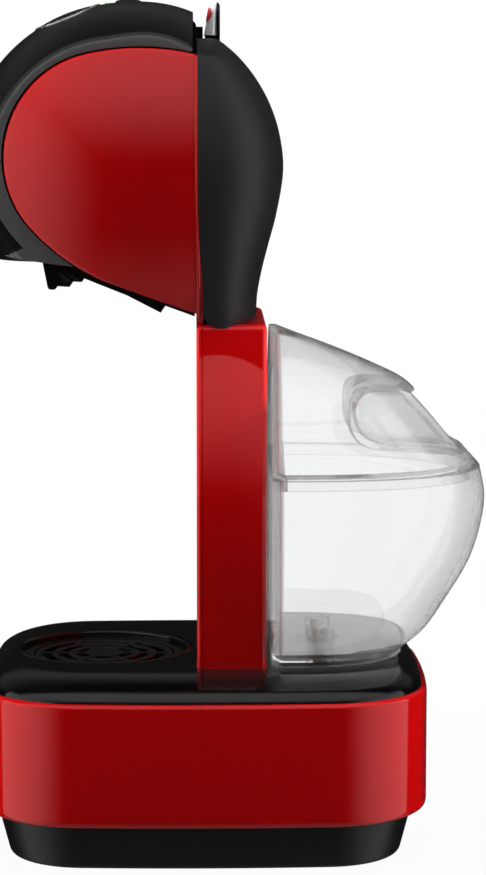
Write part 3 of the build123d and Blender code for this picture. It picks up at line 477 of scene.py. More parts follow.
def buildBand():
    low, wall, flange = bandLow.z, band["wall"], band["flange"]
    outline = ((flange, low), (0, low), (0, rimZ), (wall, rimZ))
    profile = roundedPath(outline, (0, band["low"], band["high"], 0))
    profile += [(wall, low + wall), (flange, low + wall)]
    mesh = ringMesh("baseBand", [planRing(inset, z) for inset, z in profile], around=True)
    return addPiece("baseBand", mesh, "redGloss", "machine", ("base_band",))


pan = {"low": 1.0, "inset": 5.6, "lowInset": 10.4, "flat": 12.0, "round": 3.0, "rimRound": 0.6, "lip": 2.6,
       "tuck": 0.4}


def buildPan():
    top, low = bandLow.z + pan["tuck"], pan["low"]
    outline = ((pan["lowInset"] + pan["flat"], low), (pan["lowInset"], low), (pan["inset"], top),
               (pan["inset"] + pan["lip"], top))
    profile = roundedPath(outline, (0, pan["round"], pan["rimRound"], 0))
    mesh = ringMesh("basePan", [planRing(inset, z) for inset, z in profile])
    return addPiece("basePan", mesh, "panBlack", "machine", ("base_pan",))


deck = {"inset": 2.0, "sweep": 20.0, "wellX": -40.0, "wellRadius": 34.95, "rays": 288, "curveSteps": 16,
        "flatSteps": 4, "halvings": 40, "sharp": 50}


def deckHeight(inset):
    past = min(max(inset - deck["inset"], 0.0), deck["sweep"])
    share = 1 - past / deck["sweep"]
    return rimZ + (deckZ - rimZ) * math.sqrt(max(1 - share * share, 0.0))


def deckRay(turn):
    # from the well to the rim: flat first, then down over the rounded border, and back below
    wellX, wellRadius, inset, sweep = [deck[key] for key in ("wellX", "wellRadius", "inset", "sweep")]
    dx, dy = math.cos(turn), math.sin(turn)

    def insetAt(distance):
        return planInset(wellX + dx * distance, dy * distance)

    def distanceAt(wanted):
        low, high = wellRadius, 2 * base["length"]
        for _ in range(deck["halvings"]):
            middle = (low + high) / 2
            if insetAt(middle) > wanted:
                low = middle
            else:
                high = middle
        return low

    start = min(insetAt(wellRadius), inset + sweep)
    first = math.acos(max(1 - (start - inset) / sweep, 0.0))
    flat = distanceAt(start) - wellRadius
    distances = [wellRadius + flat * k / deck["flatSteps"] for k in range(deck["flatSteps"])]
    for k in range(deck["curveSteps"] + 1):
        angle = first * (1 - k / deck["curveSteps"])
        distances.append(distanceAt(inset + sweep * (1 - math.cos(angle))))
    ray = [(wellX + dx * d, dy * d, deckHeight(insetAt(d))) for d in distances]
    return ray + [(wellX + dx * d, dy * d, rimZ) for d in (distances[-1], wellRadius)]


def buildDeck():
    mesh = ringMesh("deckTop", [deckRay(turn) for turn in fullTurns(deck["rays"])], around=True)
    return addPiece("deckTop", mesh, "blackGloss", "machine", ("base_top",), deck["sharp"])


well = {"outer": 34.9, "inner": 32.3, "ledge": 29.9, "low": 66.9, "ledgeZ": 69.5, "round": 1.1,
        "ledgeRound": 0.4, "roundSteps": 5, "steps": 128}


def buildWell():
    outline = ((well["outer"], well["low"]), (well["outer"], deckZ), (well["inner"], deckZ),
               (well["inner"], well["ledgeZ"]), (well["ledge"], well["ledgeZ"]), (well["ledge"], well["low"]))
    rounds = (0, well["round"], well["round"], 0, well["ledgeRound"], 0)
    profile = roundedPath(outline, rounds, well["roundSteps"])
    mesh = latheMesh("wellRing", profile, deck["wellX"], well["steps"], around=True)
    return addPiece("wellRing", mesh, "blackGloss", "machine", ("drip_well",))


print("base:", buildPan().name, buildBand().name, buildDeck().name, buildWell().name)


# Pieces that repeat or follow a path, by geometry nodes
class Grow(Nodes):
    def __init__(self, name, inputs):
        super().__init__(bpy.data.node_groups.new(name, "GeometryNodeTree"))
        self.tree.interface.new_socket("Geometry", in_out="OUTPUT", socket_type="NodeSocketGeometry")
        self.values = {}
        for label, value in inputs.items():
            kind = "NodeSocketInt" if isinstance(value, int) else "NodeSocketFloat"
            made = self.tree.interface.new_socket(label, in_out="INPUT", socket_type=kind)
            self.values[made.identifier] = value
        self.inlet = self.tree.nodes.new("NodeGroupInput")
        self.outlet = self.tree.nodes.new("NodeGroupOutput")

    def __getitem__(self, label):
        return Wire(self, self.inlet.outputs[label])

    def geometry(self, kind, sockets):
        return self.node("GeometryNode" + kind, {}, sockets)

    def joined(self, *parts):
        made = self.tree.nodes.new("GeometryNodeJoinGeometry")
        for part in reversed(parts):
            self.feed(made.inputs[0], part)
        return Wire(self, made.outputs[0])

    def toMesh(self, name, grown, finish):
        real = self.geometry("RealizeInstances", {"Geometry": grown})
        painted = self.geometry("SetMaterial", {"Geometry": real, "Material": finishes[finish]})
        self.feed(self.outlet.inputs[0], painted)
        carrier = newObject(name, bpy.data.meshes.new(name))
        change = carrier.modifiers.new("grow", "NODES")
        change.node_group = self.tree
        for identifier, value in self.values.items():
            change[identifier] = value
        mesh = finalMesh(carrier)
        mesh.materials.clear()
        return mesh


grid = {"rib": 3.2, "pitch": 6.6, "rings": 3, "hub": 7.8, "spokes": 3, "spoke": 3.0, "spokeTall": 0.9,
        "round": 0.6, "roundSteps": 4, "ringSteps": 128, "hubSteps": 96}


def buildGrid():
    low, high = [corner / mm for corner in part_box("drip_grid")]
    radius = (high.x - low.x) / 2
    grow = Grow("gridRings", {"Outer": (radius - grid["rib"] / 2) * mm, "Pitch": grid["pitch"] * mm,
                              "Rib": grid["rib"] * mm, "Thick": (high.z - low.z) * mm, "Rings": grid["rings"],
                              "Hub": grid["hub"] * mm, "Spokes": grid["spokes"], "Spoke": grid["spoke"] * mm,
                              "Round": grid["round"] * mm})
    outer, thick = grow["Outer"], grow["Thick"]
    index = grow.geometry("InputIndex", {})
    spots = grow.geometry("Points", {"Count": grow["Rings"]})
    circle = grow.geometry("CurvePrimitiveCircle", {"Resolution": grid["ringSteps"], "Radius": 1.0})
    size = outer - index * grow["Pitch"]
    rings = grow.geometry("InstanceOnPoints", {"Points": spots, "Instance": circle, "Scale": size})
    rings = grow.geometry("RealizeInstances", {"Geometry": rings})
    rings = grow.geometry("SetCurveRadius", {"Curve": rings, "Radius": 1.0})
    rib = grow.geometry("CurvePrimitiveQuadrilateral", {"Width": grow["Rib"], "Height": thick})
    rounding = {"Curve": rib, "Count": grid["roundSteps"], "Radius": grow["Round"]}
    rib = grow.node("GeometryNodeFilletCurve", {"mode": "POLY"}, rounding)
    rings = grow.geometry("CurveToMesh", {"Curve": rings, "Profile Curve": rib})
    size = grow.vector(outer * 2.0, grow["Spoke"], thick * grid["spokeTall"])
    bar = grow.geometry("MeshCube", {"Size": size})
    turn = grow.vector(z=index * (math.pi / grow["Spokes"]))
    spots = grow.geometry("Points", {"Count": grow["Spokes"]})
    spokes = grow.geometry("InstanceOnPoints", {"Points": spots, "Instance": bar, "Rotation": turn})
    hub = grow.geometry("MeshCylinder", {"Vertices": grid["hubSteps"], "Radius": grow["Hub"],
                                         "Depth": thick})
    place = Vector(at(deck["wellX"], 0, (low.z + high.z) / 2))
    moved = grow.geometry("Transform", {"Geometry": grow.joined(rings, spokes, hub), "Translation": place})
    mesh = grow.toMesh("gridRings", moved, "panBlack")
    return addPiece("dripGridRings", mesh, "panBlack", "grid", ("drip_grid",))


feet = {"radius": 6.5, "taper": 0.8, "steps": 64}


def buildFeet():
    low, high = [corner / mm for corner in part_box("rubber_feet")]
    tall = high.z - low.z
    grow = Grow("feetRound", {"Along": (high.x - low.x - 2 * feet["radius"]) * mm,
                              "Across": (high.y - low.y - 2 * feet["radius"]) * mm,
                              "Radius": feet["radius"] * mm, "Foot": (feet["radius"] - feet["taper"]) * mm,
                              "Tall": tall * mm})
    spots = grow.geometry("MeshGrid", {"Size X": grow["Along"], "Size Y": grow["Across"],
                                       "Vertices X": 2, "Vertices Y": 2})
    foot = grow.geometry("MeshCone", {"Vertices": feet["steps"], "Radius Top": grow["Radius"],
                                      "Radius Bottom": grow["Foot"], "Depth": grow["Tall"]})
    rows = grow.geometry("InstanceOnPoints", {"Points": spots, "Instance": foot})
    place = Vector(((low.x + high.x) / 2 * mm, (low.y + high.y) / 2 * mm, low.z * mm))
    moved = grow.geometry("Transform", {"Geometry": rows, "Translation": place})
    mesh = grow.toMesh("feetRound", moved, "rubberBlack")
    return addPiece("feetRound", mesh, "rubberBlack", "machine", ("rubber_feet",))


print("repeated pieces:", buildGrid().name, buildFeet().name)


# Column
column = {"front": -3.0, "rear": 23.6, "half": 46.0, "frontRound": 1.5, "frontEase": 0.45, "rearRound": 2.2,
          "topRound": 2.0, "topSteps": 6, "cornerSteps": 8, "seam": -0.8, "seamHalf": 0.25, "seamDepth": 0.4}


def columnPlan(inset):
    # a rounded oblong with a fine seam down both sides, behind the front edge
    half = column["half"] - inset
    steps = column["cornerSteps"]
    ring = roundedRect(column["front"] + inset, column["rear"] - inset, half,
                       column["frontRound"] - inset * column["frontEase"], column["rearRound"] - inset, steps)
    seam, wide = column["seam"] + inset, column["seamHalf"]
    groove = [(seam + wide, half), (seam, half - column["seamDepth"]), (seam - wide, half)]
    mirrored = [(x, -y) for x, y in reversed(groove)]
    corner = steps + 1
    return ring[:corner] + groove + ring[corner:3 * corner] + mirrored + ring[3 * corner:]


def buildColumn():
    topRound = column["topRound"]
    levels = [(0.0, deckZ)]
    for turn in quarterTurns(column["topSteps"]):
        levels.append((topRound * (1 - math.cos(turn)), columnTop - topRound * (1 - math.sin(turn))))
    rings = [[(x, y, z) for x, y in columnPlan(inset)] for inset, z in levels]
    mesh = ringMesh("columnShell", rings)
    return addPiece("columnShell", mesh, "redColumn", "machine", ("column_shell",))


print("column:", buildColumn().name)


# Head: red side panels, each a piece of a large sphere; the arcs of their outline count from the head's axis
panel = {"x": -18.0, "half": 62.0, "sphere": 111.0, "wall": 2.6, "lap": 0.6, "rim": 0.8, "rimSteps": 5,
         "turns": 240, "shares": (0.004, 0.15, 0.3, 0.45, 0.6, 0.72, 0.82, 0.9, 0.95), "inside": 0.5,
         "middle": (-4.0, -6.0), "topRear": (27.3, 42.4), "top": (5.0, 44.8), "topFront": (-15.0, 42.3),
         "front": (-44.7, 7.4), "lowFront": (-37.0, -19.1), "low": (-23.8, -31.7), "lowRear": (-7.2, -41.4),
         "tip": (27.3, -54.0), "topSteps": 40, "frontSteps": 60, "lowSteps": 40}


def arcPoints(first, middle, last, steps):
    ax, az = first
    bx, bz = middle
    cx, cz = last
    d = 2 * (ax * (bz - cz) + bx * (cz - az) + cx * (az - bz))
    ux = ((ax**2 + az**2) * (bz - cz) + (bx**2 + bz**2) * (cz - az) + (cx**2 + cz**2) * (az - bz)) / d
    uz = ((ax**2 + az**2) * (cx - bx) + (bx**2 + bz**2) * (ax - cx) + (cx**2 + cz**2) * (bx - ax)) / d
    radius = math.hypot(ax - ux, az - uz)
    start = math.atan2(az - uz, ax - ux)
    via = (math.atan2(bz - uz, bx - ux) - start) % (2 * math.pi)
    end = (math.atan2(cz - uz, cx - ux) - start) % (2 * math.pi)
    if via > end:
        end -= 2 * math.pi
    turns = [start + end * k / steps for k in range(steps + 1)]
    return [(ux + radius * math.cos(turn), uz + radius * math.sin(turn)) for turn in turns]


def panelOutline():
    p = panel
    points = arcPoints(p["topRear"], p["top"], p["topFront"], p["topSteps"])
    points += arcPoints(p["topFront"], p["front"], p["lowFront"], p["frontSteps"])[1:]
    points += arcPoints(p["lowFront"], p["low"], p["lowRear"], p["lowSteps"])[1:]
    return points + [p["tip"]]


outlinePoints = panelOutline()


def rayReach(origin, turn):
    # how far the panel's outline lies from a place, in one direction
    dx, dz = math.cos(turn), math.sin(turn)
    slack = 1e-6
    best = 0.0
    for k in range(len(outlinePoints)):
        ax, az = outlinePoints[k - 1]
        bx, bz = outlinePoints[k]
        ax, az, bx, bz = ax - origin[0], az - origin[1], bx - origin[0], bz - origin[1]
        ex, ez = bx - ax, bz - az
        cross = dx * ez - dz * ex
        if abs(cross) < 1e-9:
            continue
        reach = (ax * ez - az * ex) / cross
        share = (ax * dz - az * dx) / cross
        if reach > best and -slack <= share <= 1 + slack:
            best = reach
    return best


def lensHalf(x, z):
    reach = (x - panel["x"]) ** 2 + (z - headZ) ** 2
    return panel["half"] - panel["sphere"] + math.sqrt(panel["sphere"] ** 2 - reach)


def buildPanel(name, side, node):
    ox, oz = panel["middle"]
    turns = fullTurns(panel["turns"])
    turns += [math.atan2(z - oz, x - ox) % (2 * math.pi) for x, z in (panel["topRear"], panel["tip"])]
    turns.sort()
    reaches = [rayReach(panel["middle"], turn) for turn in turns]
    rim, wall = panel["rim"], panel["wall"]
    deep = wall + panel["lap"]
    rows = [(share, 0.0, 0.0) for share in panel["shares"]]
    for turn in quarterTurns(panel["rimSteps"]):   # rounded rim: distance from the edge, drop of the face
        rows.append((1.0, rim * (1 - math.sin(turn)), rim * (1 - math.cos(turn))))
    rows += [(1.0, 0.0, deep), (1.0, wall, deep), (panel["inside"], 0.0, wall)]
    rings = []
    for share, back, drop in rows:
        ring = []
        for turn, reach in zip(turns, reaches):
            distance = reach * share - back
            x = head["x"] + ox + distance * math.cos(turn)
            z = headZ + oz + distance * math.sin(turn)
            ring.append((x, side * (lensHalf(x, z) - drop), z))
        rings.append(ring)
    return addPiece(name, ringMesh(name, rings), "redGloss", "machine", (node,))


buildPanel("sidePanelRight", -1, "side_panel_right")
buildPanel("sidePanelLeft", 1, "side_panel_left")
print("side panels done")


# Head: the black band that wraps over the crown, with a flat facet on each side round the red panel
visor = {"arc": 93.0, "facetHalf": 49.5, "toe": 4.5, "wall": 2.6, "edge": 2.2, "edgeShare": 0.8,
         "facetLeast": 0.3, "panelGap": 0.7, "rear": -4.2, "partingRise": 3.2, "rearLift": 1.8,
         "rearArc": 15.5, "rearTurns": (1.75, 1.15), "steps": 72, "facetSteps": 6, "edgeSteps": 6,
         "crownSteps": 16, "greyFaces": 8, "cornerGuess": 50.0, "reachGuess": 58.0, "sharp": 40}


def crownArc(turn):
    # the crown flattens towards the rear
    ahead, behind = visor["rearTurns"]
    rear = eased(-turn, -ahead, -behind)
    return head["radius"] + visor["rearLift"] * rear, visor["arc"] + visor["rearArc"] * rear


def crownRadius(turn, y, drop=0.0):
    radius, arc = crownArc(turn)
    return radius - drop - arc + math.sqrt(arc**2 - y * y)


def bandSection(turn, inner, drop):
    # half of a cut through the band: facet from its hole outwards, rounded edge, then over the crown
    slope = math.cos(turn) * math.tan(math.radians(visor["toe"]))
    half = visor["facetHalf"] - drop
    corner = visor["cornerGuess"]
    for _ in range(8):
        corner = crownRadius(turn, half + corner * slope, drop)
    cornerY = half + corner * slope
    inner = min(inner, corner - visor["facetLeast"])
    edge = min(visor["edge"], (corner - inner) * visor["edgeShare"])
    tangentY = math.sqrt(crownArc(turn)[1] ** 2 - cornerY**2)
    crown = Vector((cornerY / tangentY, -1)).normalized()
    facet = Vector((-1, -slope)).normalized()
    tip = Vector((corner, cornerY))
    start = tip + facet * edge
    end = tip + crown * edge
    points = []
    for k in range(visor["facetSteps"]):
        r = inner + (start.x - inner) * k / visor["facetSteps"]
        points.append((r, half + r * slope))
    for k in range(visor["edgeSteps"] + 1):
        points.append(tuple(bend(start, tip, end, k / visor["edgeSteps"])))
    for k in range(1, visor["crownSteps"] + 1):
        y = end.y * (1 - k / visor["crownSteps"])
        points.append((crownRadius(turn, y, drop), y))
    return points


holeReach = {}


def panelHole(turn):
    key = round(turn, 4)
    if key not in holeReach:
        holeReach[key] = rayReach((0.0, 0.0), turn) + visor["panelGap"]
    return holeReach[key]


def bandLoop(turn, known):
    # a whole closed cut: outside from hole to hole, then back along the inside
    key = round(turn, 5)
    if key not in known:
        halves = [bandSection(turn, panelHole(turn), drop) for drop in (0.0, visor["wall"])]
        outside, inside = [half + [(r, -y) for r, y in reversed(half[:-1])] for half in halves]
        known[key] = outside + list(reversed(inside))
    return known[key]


def visorTurn(share, radius):
    # both end cuts are flat planes: an upright one at the rear and a level one at the parting
    rear = math.acos(min((visor["rear"] - head["x"]) / radius, 1.0))
    parting = math.pi - math.asin(visor["partingRise"] / radius)
    return rear * (1 - share) + parting * share


def visorRing(share):
    known = {}
    guess = visorTurn(share, visor["reachGuess"])
    ring = []
    for k in range(len(bandLoop(guess, known))):
        turn = guess
        for _ in range(2):
            turn = visorTurn(share, bandLoop(turn, known)[k][0])
        r, y = bandLoop(turn, known)[k]
        ring.append((head["x"] + r * math.cos(turn), y, headZ + r * math.sin(turn)))
    return ring


def buildVisor():
    rings = [visorRing(step / visor["steps"]) for step in range(visor["steps"] + 1)]
    mesh = ringMesh("visorBand", rings)
    around = len(rings[0])
    last = around // 2 - 1   # faces across the outside
    grey = visor["greyFaces"]
    for face in mesh.polygons[:len(mesh.polygons) - 2]:   # the side facets take the second finish
        k = face.index % around
        if k < grey or last - grey <= k < last:
            face.material_index = 1
    finish = ("visorSatin", "facetGrey")
    return addPiece("visorBand", mesh, finish, "handle", ("locking_handle",), visor["sharp"])


print("visor:", buildVisor().name)


# Bare oval badge, laid on the crown: a thin silver ring and its plate
badge = {"angle": 111.5, "along": 13.5, "across": 22.0, "ring": 1.3, "edge": 0.3, "ease": 0.3, "proud": 0.45,
         "plate": 0.2, "sunk": 0.6, "steps": 128, "shares": (0.03, 0.2, 0.4, 0.6, 0.8, 0.94), "sharp": 60}


def badgeOval(share, inset, proud):
    middle = math.radians(badge["angle"])
    ring = []
    for sweep in fullTurns(badge["steps"]):
        along = (badge["along"] * share - inset) * math.cos(sweep)
        y = (badge["across"] * share - inset) * math.sin(sweep)
        turn = middle
        for _ in range(3):
            turn = middle + math.asin(along / crownRadius(turn, y))
        reach = crownRadius(turn, y) + proud
        ring.append((head["x"] + reach * math.cos(turn), y, headZ + reach * math.sin(turn)))
    return ring


def buildBadge():
    wide, edge, proud, sunk = [badge[key] for key in ("ring", "edge", "proud", "sunk")]
    ease = edge * badge["ease"]
    outline = [(0.0, -sunk), (0.0, proud - edge), (ease, proud - ease), (edge, proud)]
    outline += [(wide - inset, rise) for inset, rise in reversed(outline)]
    mesh = ringMesh("badgeRing", [badgeOval(1.0, inset, rise) for inset, rise in outline], around=True)
    ring = addPiece("badgeRing", mesh, "ringSilver", "handle", ("badge_ring",), badge["sharp"])
    rows = [badgeOval(share, 0.0, -sunk) for share in badge["shares"]]
    rows += [badgeOval(share, 0.0, badge["plate"]) for share in reversed(badge["shares"])]
    mesh = ringMesh("badgePlate", rows)
    plate = addPiece("badgePlate", mesh, "badgeDark", "handle", ("badge_plate",))
    return ring, plate


print("badge:", [piece.name for piece in buildBadge()])


# Head: soft black rear shell; its levels are heights from the head's axis with their reach to the rear
shell = {"front": -0.4, "overlap": 2.2, "overlapLow": -50.0, "overlapHigh": -12.0, "proud": 0.5,
         "fullness": 3.0, "frontRound": 6.0, "rearRound": 3.5, "turns": 40, "low": -59.4, "collar": 2.6,
         "collarHigh": -38.0,
         "levels": ((-58.2, 20.2), (-49.0, 20.6), (-39.6, 22.3), (-29.3, 24.9), (-18.0, 27.9), (-1.0, 30.6),
                    (13.0, 29.1), (25.0, 25.1), (35.0, 19.35), (42.6, 12.96), (48.0, 6.8)),
         "shoulder": 40.0, "top": 49.6, "lowRises": (0.0, 0.4, 0.9, 1.5, 2.2, 3.0, 4.0, 5.0), "sideSteps": 44,
         "topSteps": 14, "leastDepth": 0.5, "leastShare": 0.0004, "sharp": 40}
leverSlot = {"low": 34.0, "tall": 40.0, "play": 0.5, "ahead": 6.0, "behind": 0.6}


def dRing(front, rear, half, fullness, z, turns):
    ring = []
    for step in range(turns + 1):
        turn = math.pi / 2 - math.pi * step / turns
        c = max(math.cos(turn), 0.0) ** (2 / fullness)
        s = abs(math.sin(turn)) ** (2 / fullness)
        ring.append((front + (rear - front) * c, math.copysign(half * s, math.sin(turn)), z))
    return ring


def lowCorner(radius, above):
    # how far a rounded lower corner draws back at a height above the lower end
    short = max(radius - above, 0.0)
    return radius - math.sqrt(radius**2 - short**2)


def shellRing(rise):
    low, shoulder = shell["low"], shell["shoulder"]
    rear = through(shell["levels"], min(rise, shell["levels"][-1][0]), 1)
    front = shell["front"] - shell["overlap"] * eased(rise, shell["overlapLow"], shell["overlapHigh"])
    half = lensHalf(front, headZ + min(rise, shoulder)) + shell["proud"]
    past = max(rise - shoulder, 0) / (shell["top"] - shoulder)
    half *= math.sqrt(max(1 - past * past, shell["leastShare"]))
    half += shell["collar"] * (1 - eased(rise, low, shell["collarHigh"]))
    front += lowCorner(shell["frontRound"], rise - low)
    rear -= lowCorner(shell["rearRound"], rise - low)
    rear = max(rear, front + shell["leastDepth"])
    return dRing(front, rear, half, shell["fullness"], headZ + rise, shell["turns"])


def buildShell():
    low, shoulder, steps = shell["low"], shell["shoulder"], shell["sideSteps"]
    span = shell["top"] - shoulder
    rises = [low + above for above in shell["lowRises"]]
    rises += [low + (shoulder - low) * k / steps for k in range(3, steps + 1)]
    rises += [shoulder + span * math.sin(turn) for turn in quarterTurns(shell["topSteps"])[1:]]
    mesh = tidyMesh(ringMesh("rearShell", [shellRing(rise) for rise in rises]))
    bodyLow, bodyHigh = [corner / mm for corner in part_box("lever_body")]
    half = bodyHigh.y + leverSlot["play"]
    slotLow = headZ + leverSlot["low"]
    slot = boxMesh("slot", (bodyLow.x - midX - leverSlot["ahead"], -half, slotLow),
                   (bodyHigh.x - midX + leverSlot["behind"], half, slotLow + leverSlot["tall"]))
    mesh = combine(mesh, slot, "DIFFERENCE")
    return addPiece("rearShellSoft", mesh, "shellSoft", "machine", ("rear_shell",),
                    shell["sharp"])


print("rear shell:", buildShell().name)


# Red bead between the side panels and the rear shell
bead = {"x": -2.9, "lowX": -2.0, "low": -55.0, "high": 41.6, "radius": 0.8, "sunk": 0.25, "points": 64,
        "steps": 16}


def buildBead():
    grow = Grow("panelBead", {"Low X": (midX + bead["lowX"]) * mm, "X": (midX + bead["x"]) * mm,
                              "Low Z": (headZ + bead["low"]) * mm, "High Z": (headZ + bead["high"]) * mm,
                              "Middle X": (midX + panel["x"]) * mm, "Middle Z": headZ * mm,
                              "Sphere": panel["sphere"] * mm,
                              "Half": (panel["half"] - panel["sphere"] - bead["sunk"]) * mm,
                              "Radius": bead["radius"] * mm, "Points": bead["points"]})
    start = grow.vector(grow["Low X"], 0.0, grow["Low Z"])
    end = grow.vector(grow["X"], 0.0, grow["High Z"])
    line = grow.geometry("CurvePrimitiveLine", {"Start": start, "End": end})
    line = grow.geometry("ResampleCurve", {"Curve": line, "Count": grow["Points"]})
    x, z = grow.parts(grow.geometry("InputPosition", {}), "XZ")
    away = (x - grow["Middle X"]) ** 2.0 + (z - grow["Middle Z"]) ** 2.0
    deep = grow["Sphere"] ** 2.0 - away
    half = grow["Half"] + grow.node("ShaderNodeMath", {"operation": "SQRT"}, {0: deep})
    circle = {"Resolution": bead["steps"], "Radius": grow["Radius"]}
    profile = grow.geometry("CurvePrimitiveCircle", circle)
    beads = []
    for side in (-1.0, 1.0):
        place = grow.vector(x, half * side, z)
        path = grow.geometry("SetPosition", {"Geometry": line, "Position": place})
        tube = {"Curve": path, "Profile Curve": profile, "Fill Caps": True}
        beads.append(grow.geometry("CurveToMesh", tube))
    mesh = grow.toMesh("panelBead", grow.joined(*beads), "redGloss")
    return addPiece("panelBead", mesh, "redGloss", "machine")


print("bead:", buildBead().name)


# Pod holder: the cup and front keep their shape, the spout gets its hooked outline
holder = {"cutRise": -35.65, "cutDeep": 30.0, "cutFront": -70.0, "cutRear": -40.0, "cutHalf": 20.0,
          "half": 11.0, "edge": 0.8, "slim": 0.95, "middle": (-55.0, -40.0), "podX": -54.5, "bore": 5.2,
          "boreLow": -60.0, "boreHigh": -30.0, "boreSteps": 32, "sharp": 30,
          "outline": ((-62.9, -35.0), (-60.5, -47.3), (-57.6, -47.2), (-56.9, -45.9), (-52.0, -46.2),
                      (-51.4, -44.1), (-47.0, -44.3), (-47.0, -35.0)),
          "rounds": (0, 1.5, 1.2, 0.5, 0.6, 0.4, 0.8, 0)}


def buildHolder():
    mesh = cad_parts["capsule_holder"].data.copy()
    mesh.materials.clear()
    tidyMesh(mesh)
    cut = headZ + holder["cutRise"]
    away = boxMesh("spoutCut", (holder["cutFront"], -holder["cutHalf"], cut - holder["cutDeep"]),
                   (holder["cutRear"], holder["cutHalf"], cut))
    mesh = combine(mesh, away, "DIFFERENCE")
    half, edge, slim = holder["half"], holder["edge"], holder["slim"]
    midSpoutX, midRise = holder["middle"]
    outline = roundedPath(holder["outline"], holder["rounds"])
    rings = []
    for y, size in ((-half, slim), (edge - half, 1.0), (half - edge, 1.0), (half, slim)):
        rings.append([(midSpoutX + (x - midSpoutX) * size, y, headZ + midRise + (rise - midRise) * size)
                      for x, rise in outline])
    mesh = combine(mesh, tidyMesh(ringMesh("spout", rings)), "UNION")
    low, high = headZ + holder["boreLow"], headZ + holder["boreHigh"]
    profile = [(0.0, low), (holder["bore"], low), (holder["bore"], high), (0.0, high)]
    bore = tidyMesh(latheMesh("spoutBore", profile, holder["podX"], holder["boreSteps"]))
    mesh = combine(mesh, bore, "DIFFERENCE")
    for face in mesh.polygons:
        face.material_index = 0
    mesh.materials.clear()
    return addPiece("podHolder", mesh, "panBlack", "holder", ("capsule_holder",),
                    holder["sharp"])


print("pod holder:", buildHolder().name)


# Lever for hot and cold: chrome face, black back with its drum, and a mark over each front edge
lever = {"pivotZ": 35.4, "rear": 6.2, "half": 11.0, "top": 27.6, "lean": 2.4, "corner": 4.0, "crest": 1.6,
         "split": 5.0, "frontRound": 2.4, "backRound": 1.9, "plateRound": 0.2, "rearRound": 0.7,
         "halfShare": 0.5, "roundShare": 0.45, "leastDepth": 0.3, "steps": 10, "sharp": 50}
drum = {"radius": 16.5, "root": 1.5, "front": 0.4, "edge": 0.5, "slim": 0.97, "from": -14.0, "sweep": 208.0,
        "steps": 48}
mark = {"rise": 22.8, "y": 9.8, "tall": 2.6, "wide": 2.0, "proud": 0.3, "steps": 32, "sharp": 60,
        "rows": ((1.0, -0.9), (1.0, 0.6), (0.85, 0.9), (0.65, 1.0), (0.45, 1.0), (0.25, 1.0), (0.06, 1.0)),
        "pieces": (("hotMark", -1, "markRed", "mark_red", "hot_mark"),
                   ("coldMark", 1, "markBlue", "mark_blue", "cold_mark"))}
leverZ = headZ + lever["pivotZ"]
leverLow = drum["radius"] - drum["root"]   # the lever is rooted in its drum


def arcLeft(radius, past):
    return math.sqrt(max(radius**2 - past**2, 0.01))


def leverHalf(height):
    over = max(height - lever["top"] + lever["corner"], 0.0)
    return lever["half"] - lever["corner"] + arcLeft(lever["corner"], over)


def leverLean(height):
    return lever["lean"] * (height - leverLow) / (lever["top"] - leverLow)


def leverRings(xFrom, xTo, frontRound, rearRound):
    # one ring per height: the face leans back, the upper corners and the crest are rounded
    top, corner, steps = lever["top"], lever["corner"], lever["steps"]
    heights = [leverLow + (top - corner - leverLow) * k / steps for k in range(steps + 1)]
    heights += [top - corner * (1 - math.sin(turn)) for turn in quarterTurns(steps)[1:]]
    rings = []
    for height in heights:
        half = leverHalf(height)
        slim = lever["crest"] - arcLeft(lever["crest"], max(height - top + lever["crest"], 0.0))
        front = xFrom + leverLean(height) + slim if frontRound > rearRound else xFrom
        rear = max(min(xTo, lever["rear"] - slim), front + lever["leastDepth"])
        most = min(half * lever["halfShare"], (rear - front) * lever["roundShare"])
        ring = roundedRect(front, rear, half, min(frontRound, most), min(rearRound, most))
        rings.append([(x, y, leverZ + height) for x, y in ring])
    return rings


def edgeWrap(along, height, proud):
    # a place counted along the lever's surface, from its middle over the rounded front edge to its side
    front = leverLean(height)
    radius = min(lever["frontRound"], (lever["split"] - front) * lever["roundShare"])
    edge = leverHalf(height) - radius
    if along <= edge:
        return front - proud, along
    turn = min((along - edge) / radius, math.pi / 2)
    rest = along - edge - turn * radius
    return front + radius - (radius + proud) * math.cos(turn) + rest, edge + (radius + proud) * math.sin(turn)


def buildLever():
    rings = leverRings(0.0, lever["split"], lever["frontRound"], lever["backRound"])
    mesh = ringMesh("leverChrome", rings)
    addPiece("leverChrome", mesh, "leverSilver", "lever", ("lever_cap",), lever["sharp"])
    rings = leverRings(lever["split"], lever["rear"], lever["plateRound"], lever["rearRound"])
    plate = tidyMesh(ringMesh("leverBack", rings))
    front, rear, edge, slim = drum["front"], lever["rear"], drum["edge"], drum["slim"]
    turns = [math.radians(drum["from"] + drum["sweep"] * k / drum["steps"]) for k in range(drum["steps"] + 1)]
    rings = []
    for x, share in ((front, slim), (front + edge, 1.0), (rear - edge, 1.0), (rear, slim)):
        radius = drum["radius"] * share
        rings.append([(x, radius * math.cos(turn), leverZ + radius * math.sin(turn)) for turn in turns])
    mesh = combine(plate, tidyMesh(ringMesh("leverDrum", rings)), "UNION")
    addPiece("leverBack", mesh, "blackGloss", "lever", ("lever_body",), lever["sharp"])


def buildMark(name, side, finish, slot, node):
    rings = []
    for share, proud in mark["rows"]:
        ring = []
        for turn in fullTurns(mark["steps"]):
            along = mark["y"] + mark["wide"] * share * math.cos(turn)
            height = mark["rise"] + mark["tall"] * share * math.sin(turn)
            x, across = edgeWrap(along, height, proud * mark["proud"])
            ring.append((x, side * across, leverZ + height))
        rings.append(ring)
    addPiece(name, ringMesh(name, rings), finish, "lever", (node,), mark["sharp"])


buildLever()
for row in mark["pieces"]:
    buildMark(*row)
print("lever done")


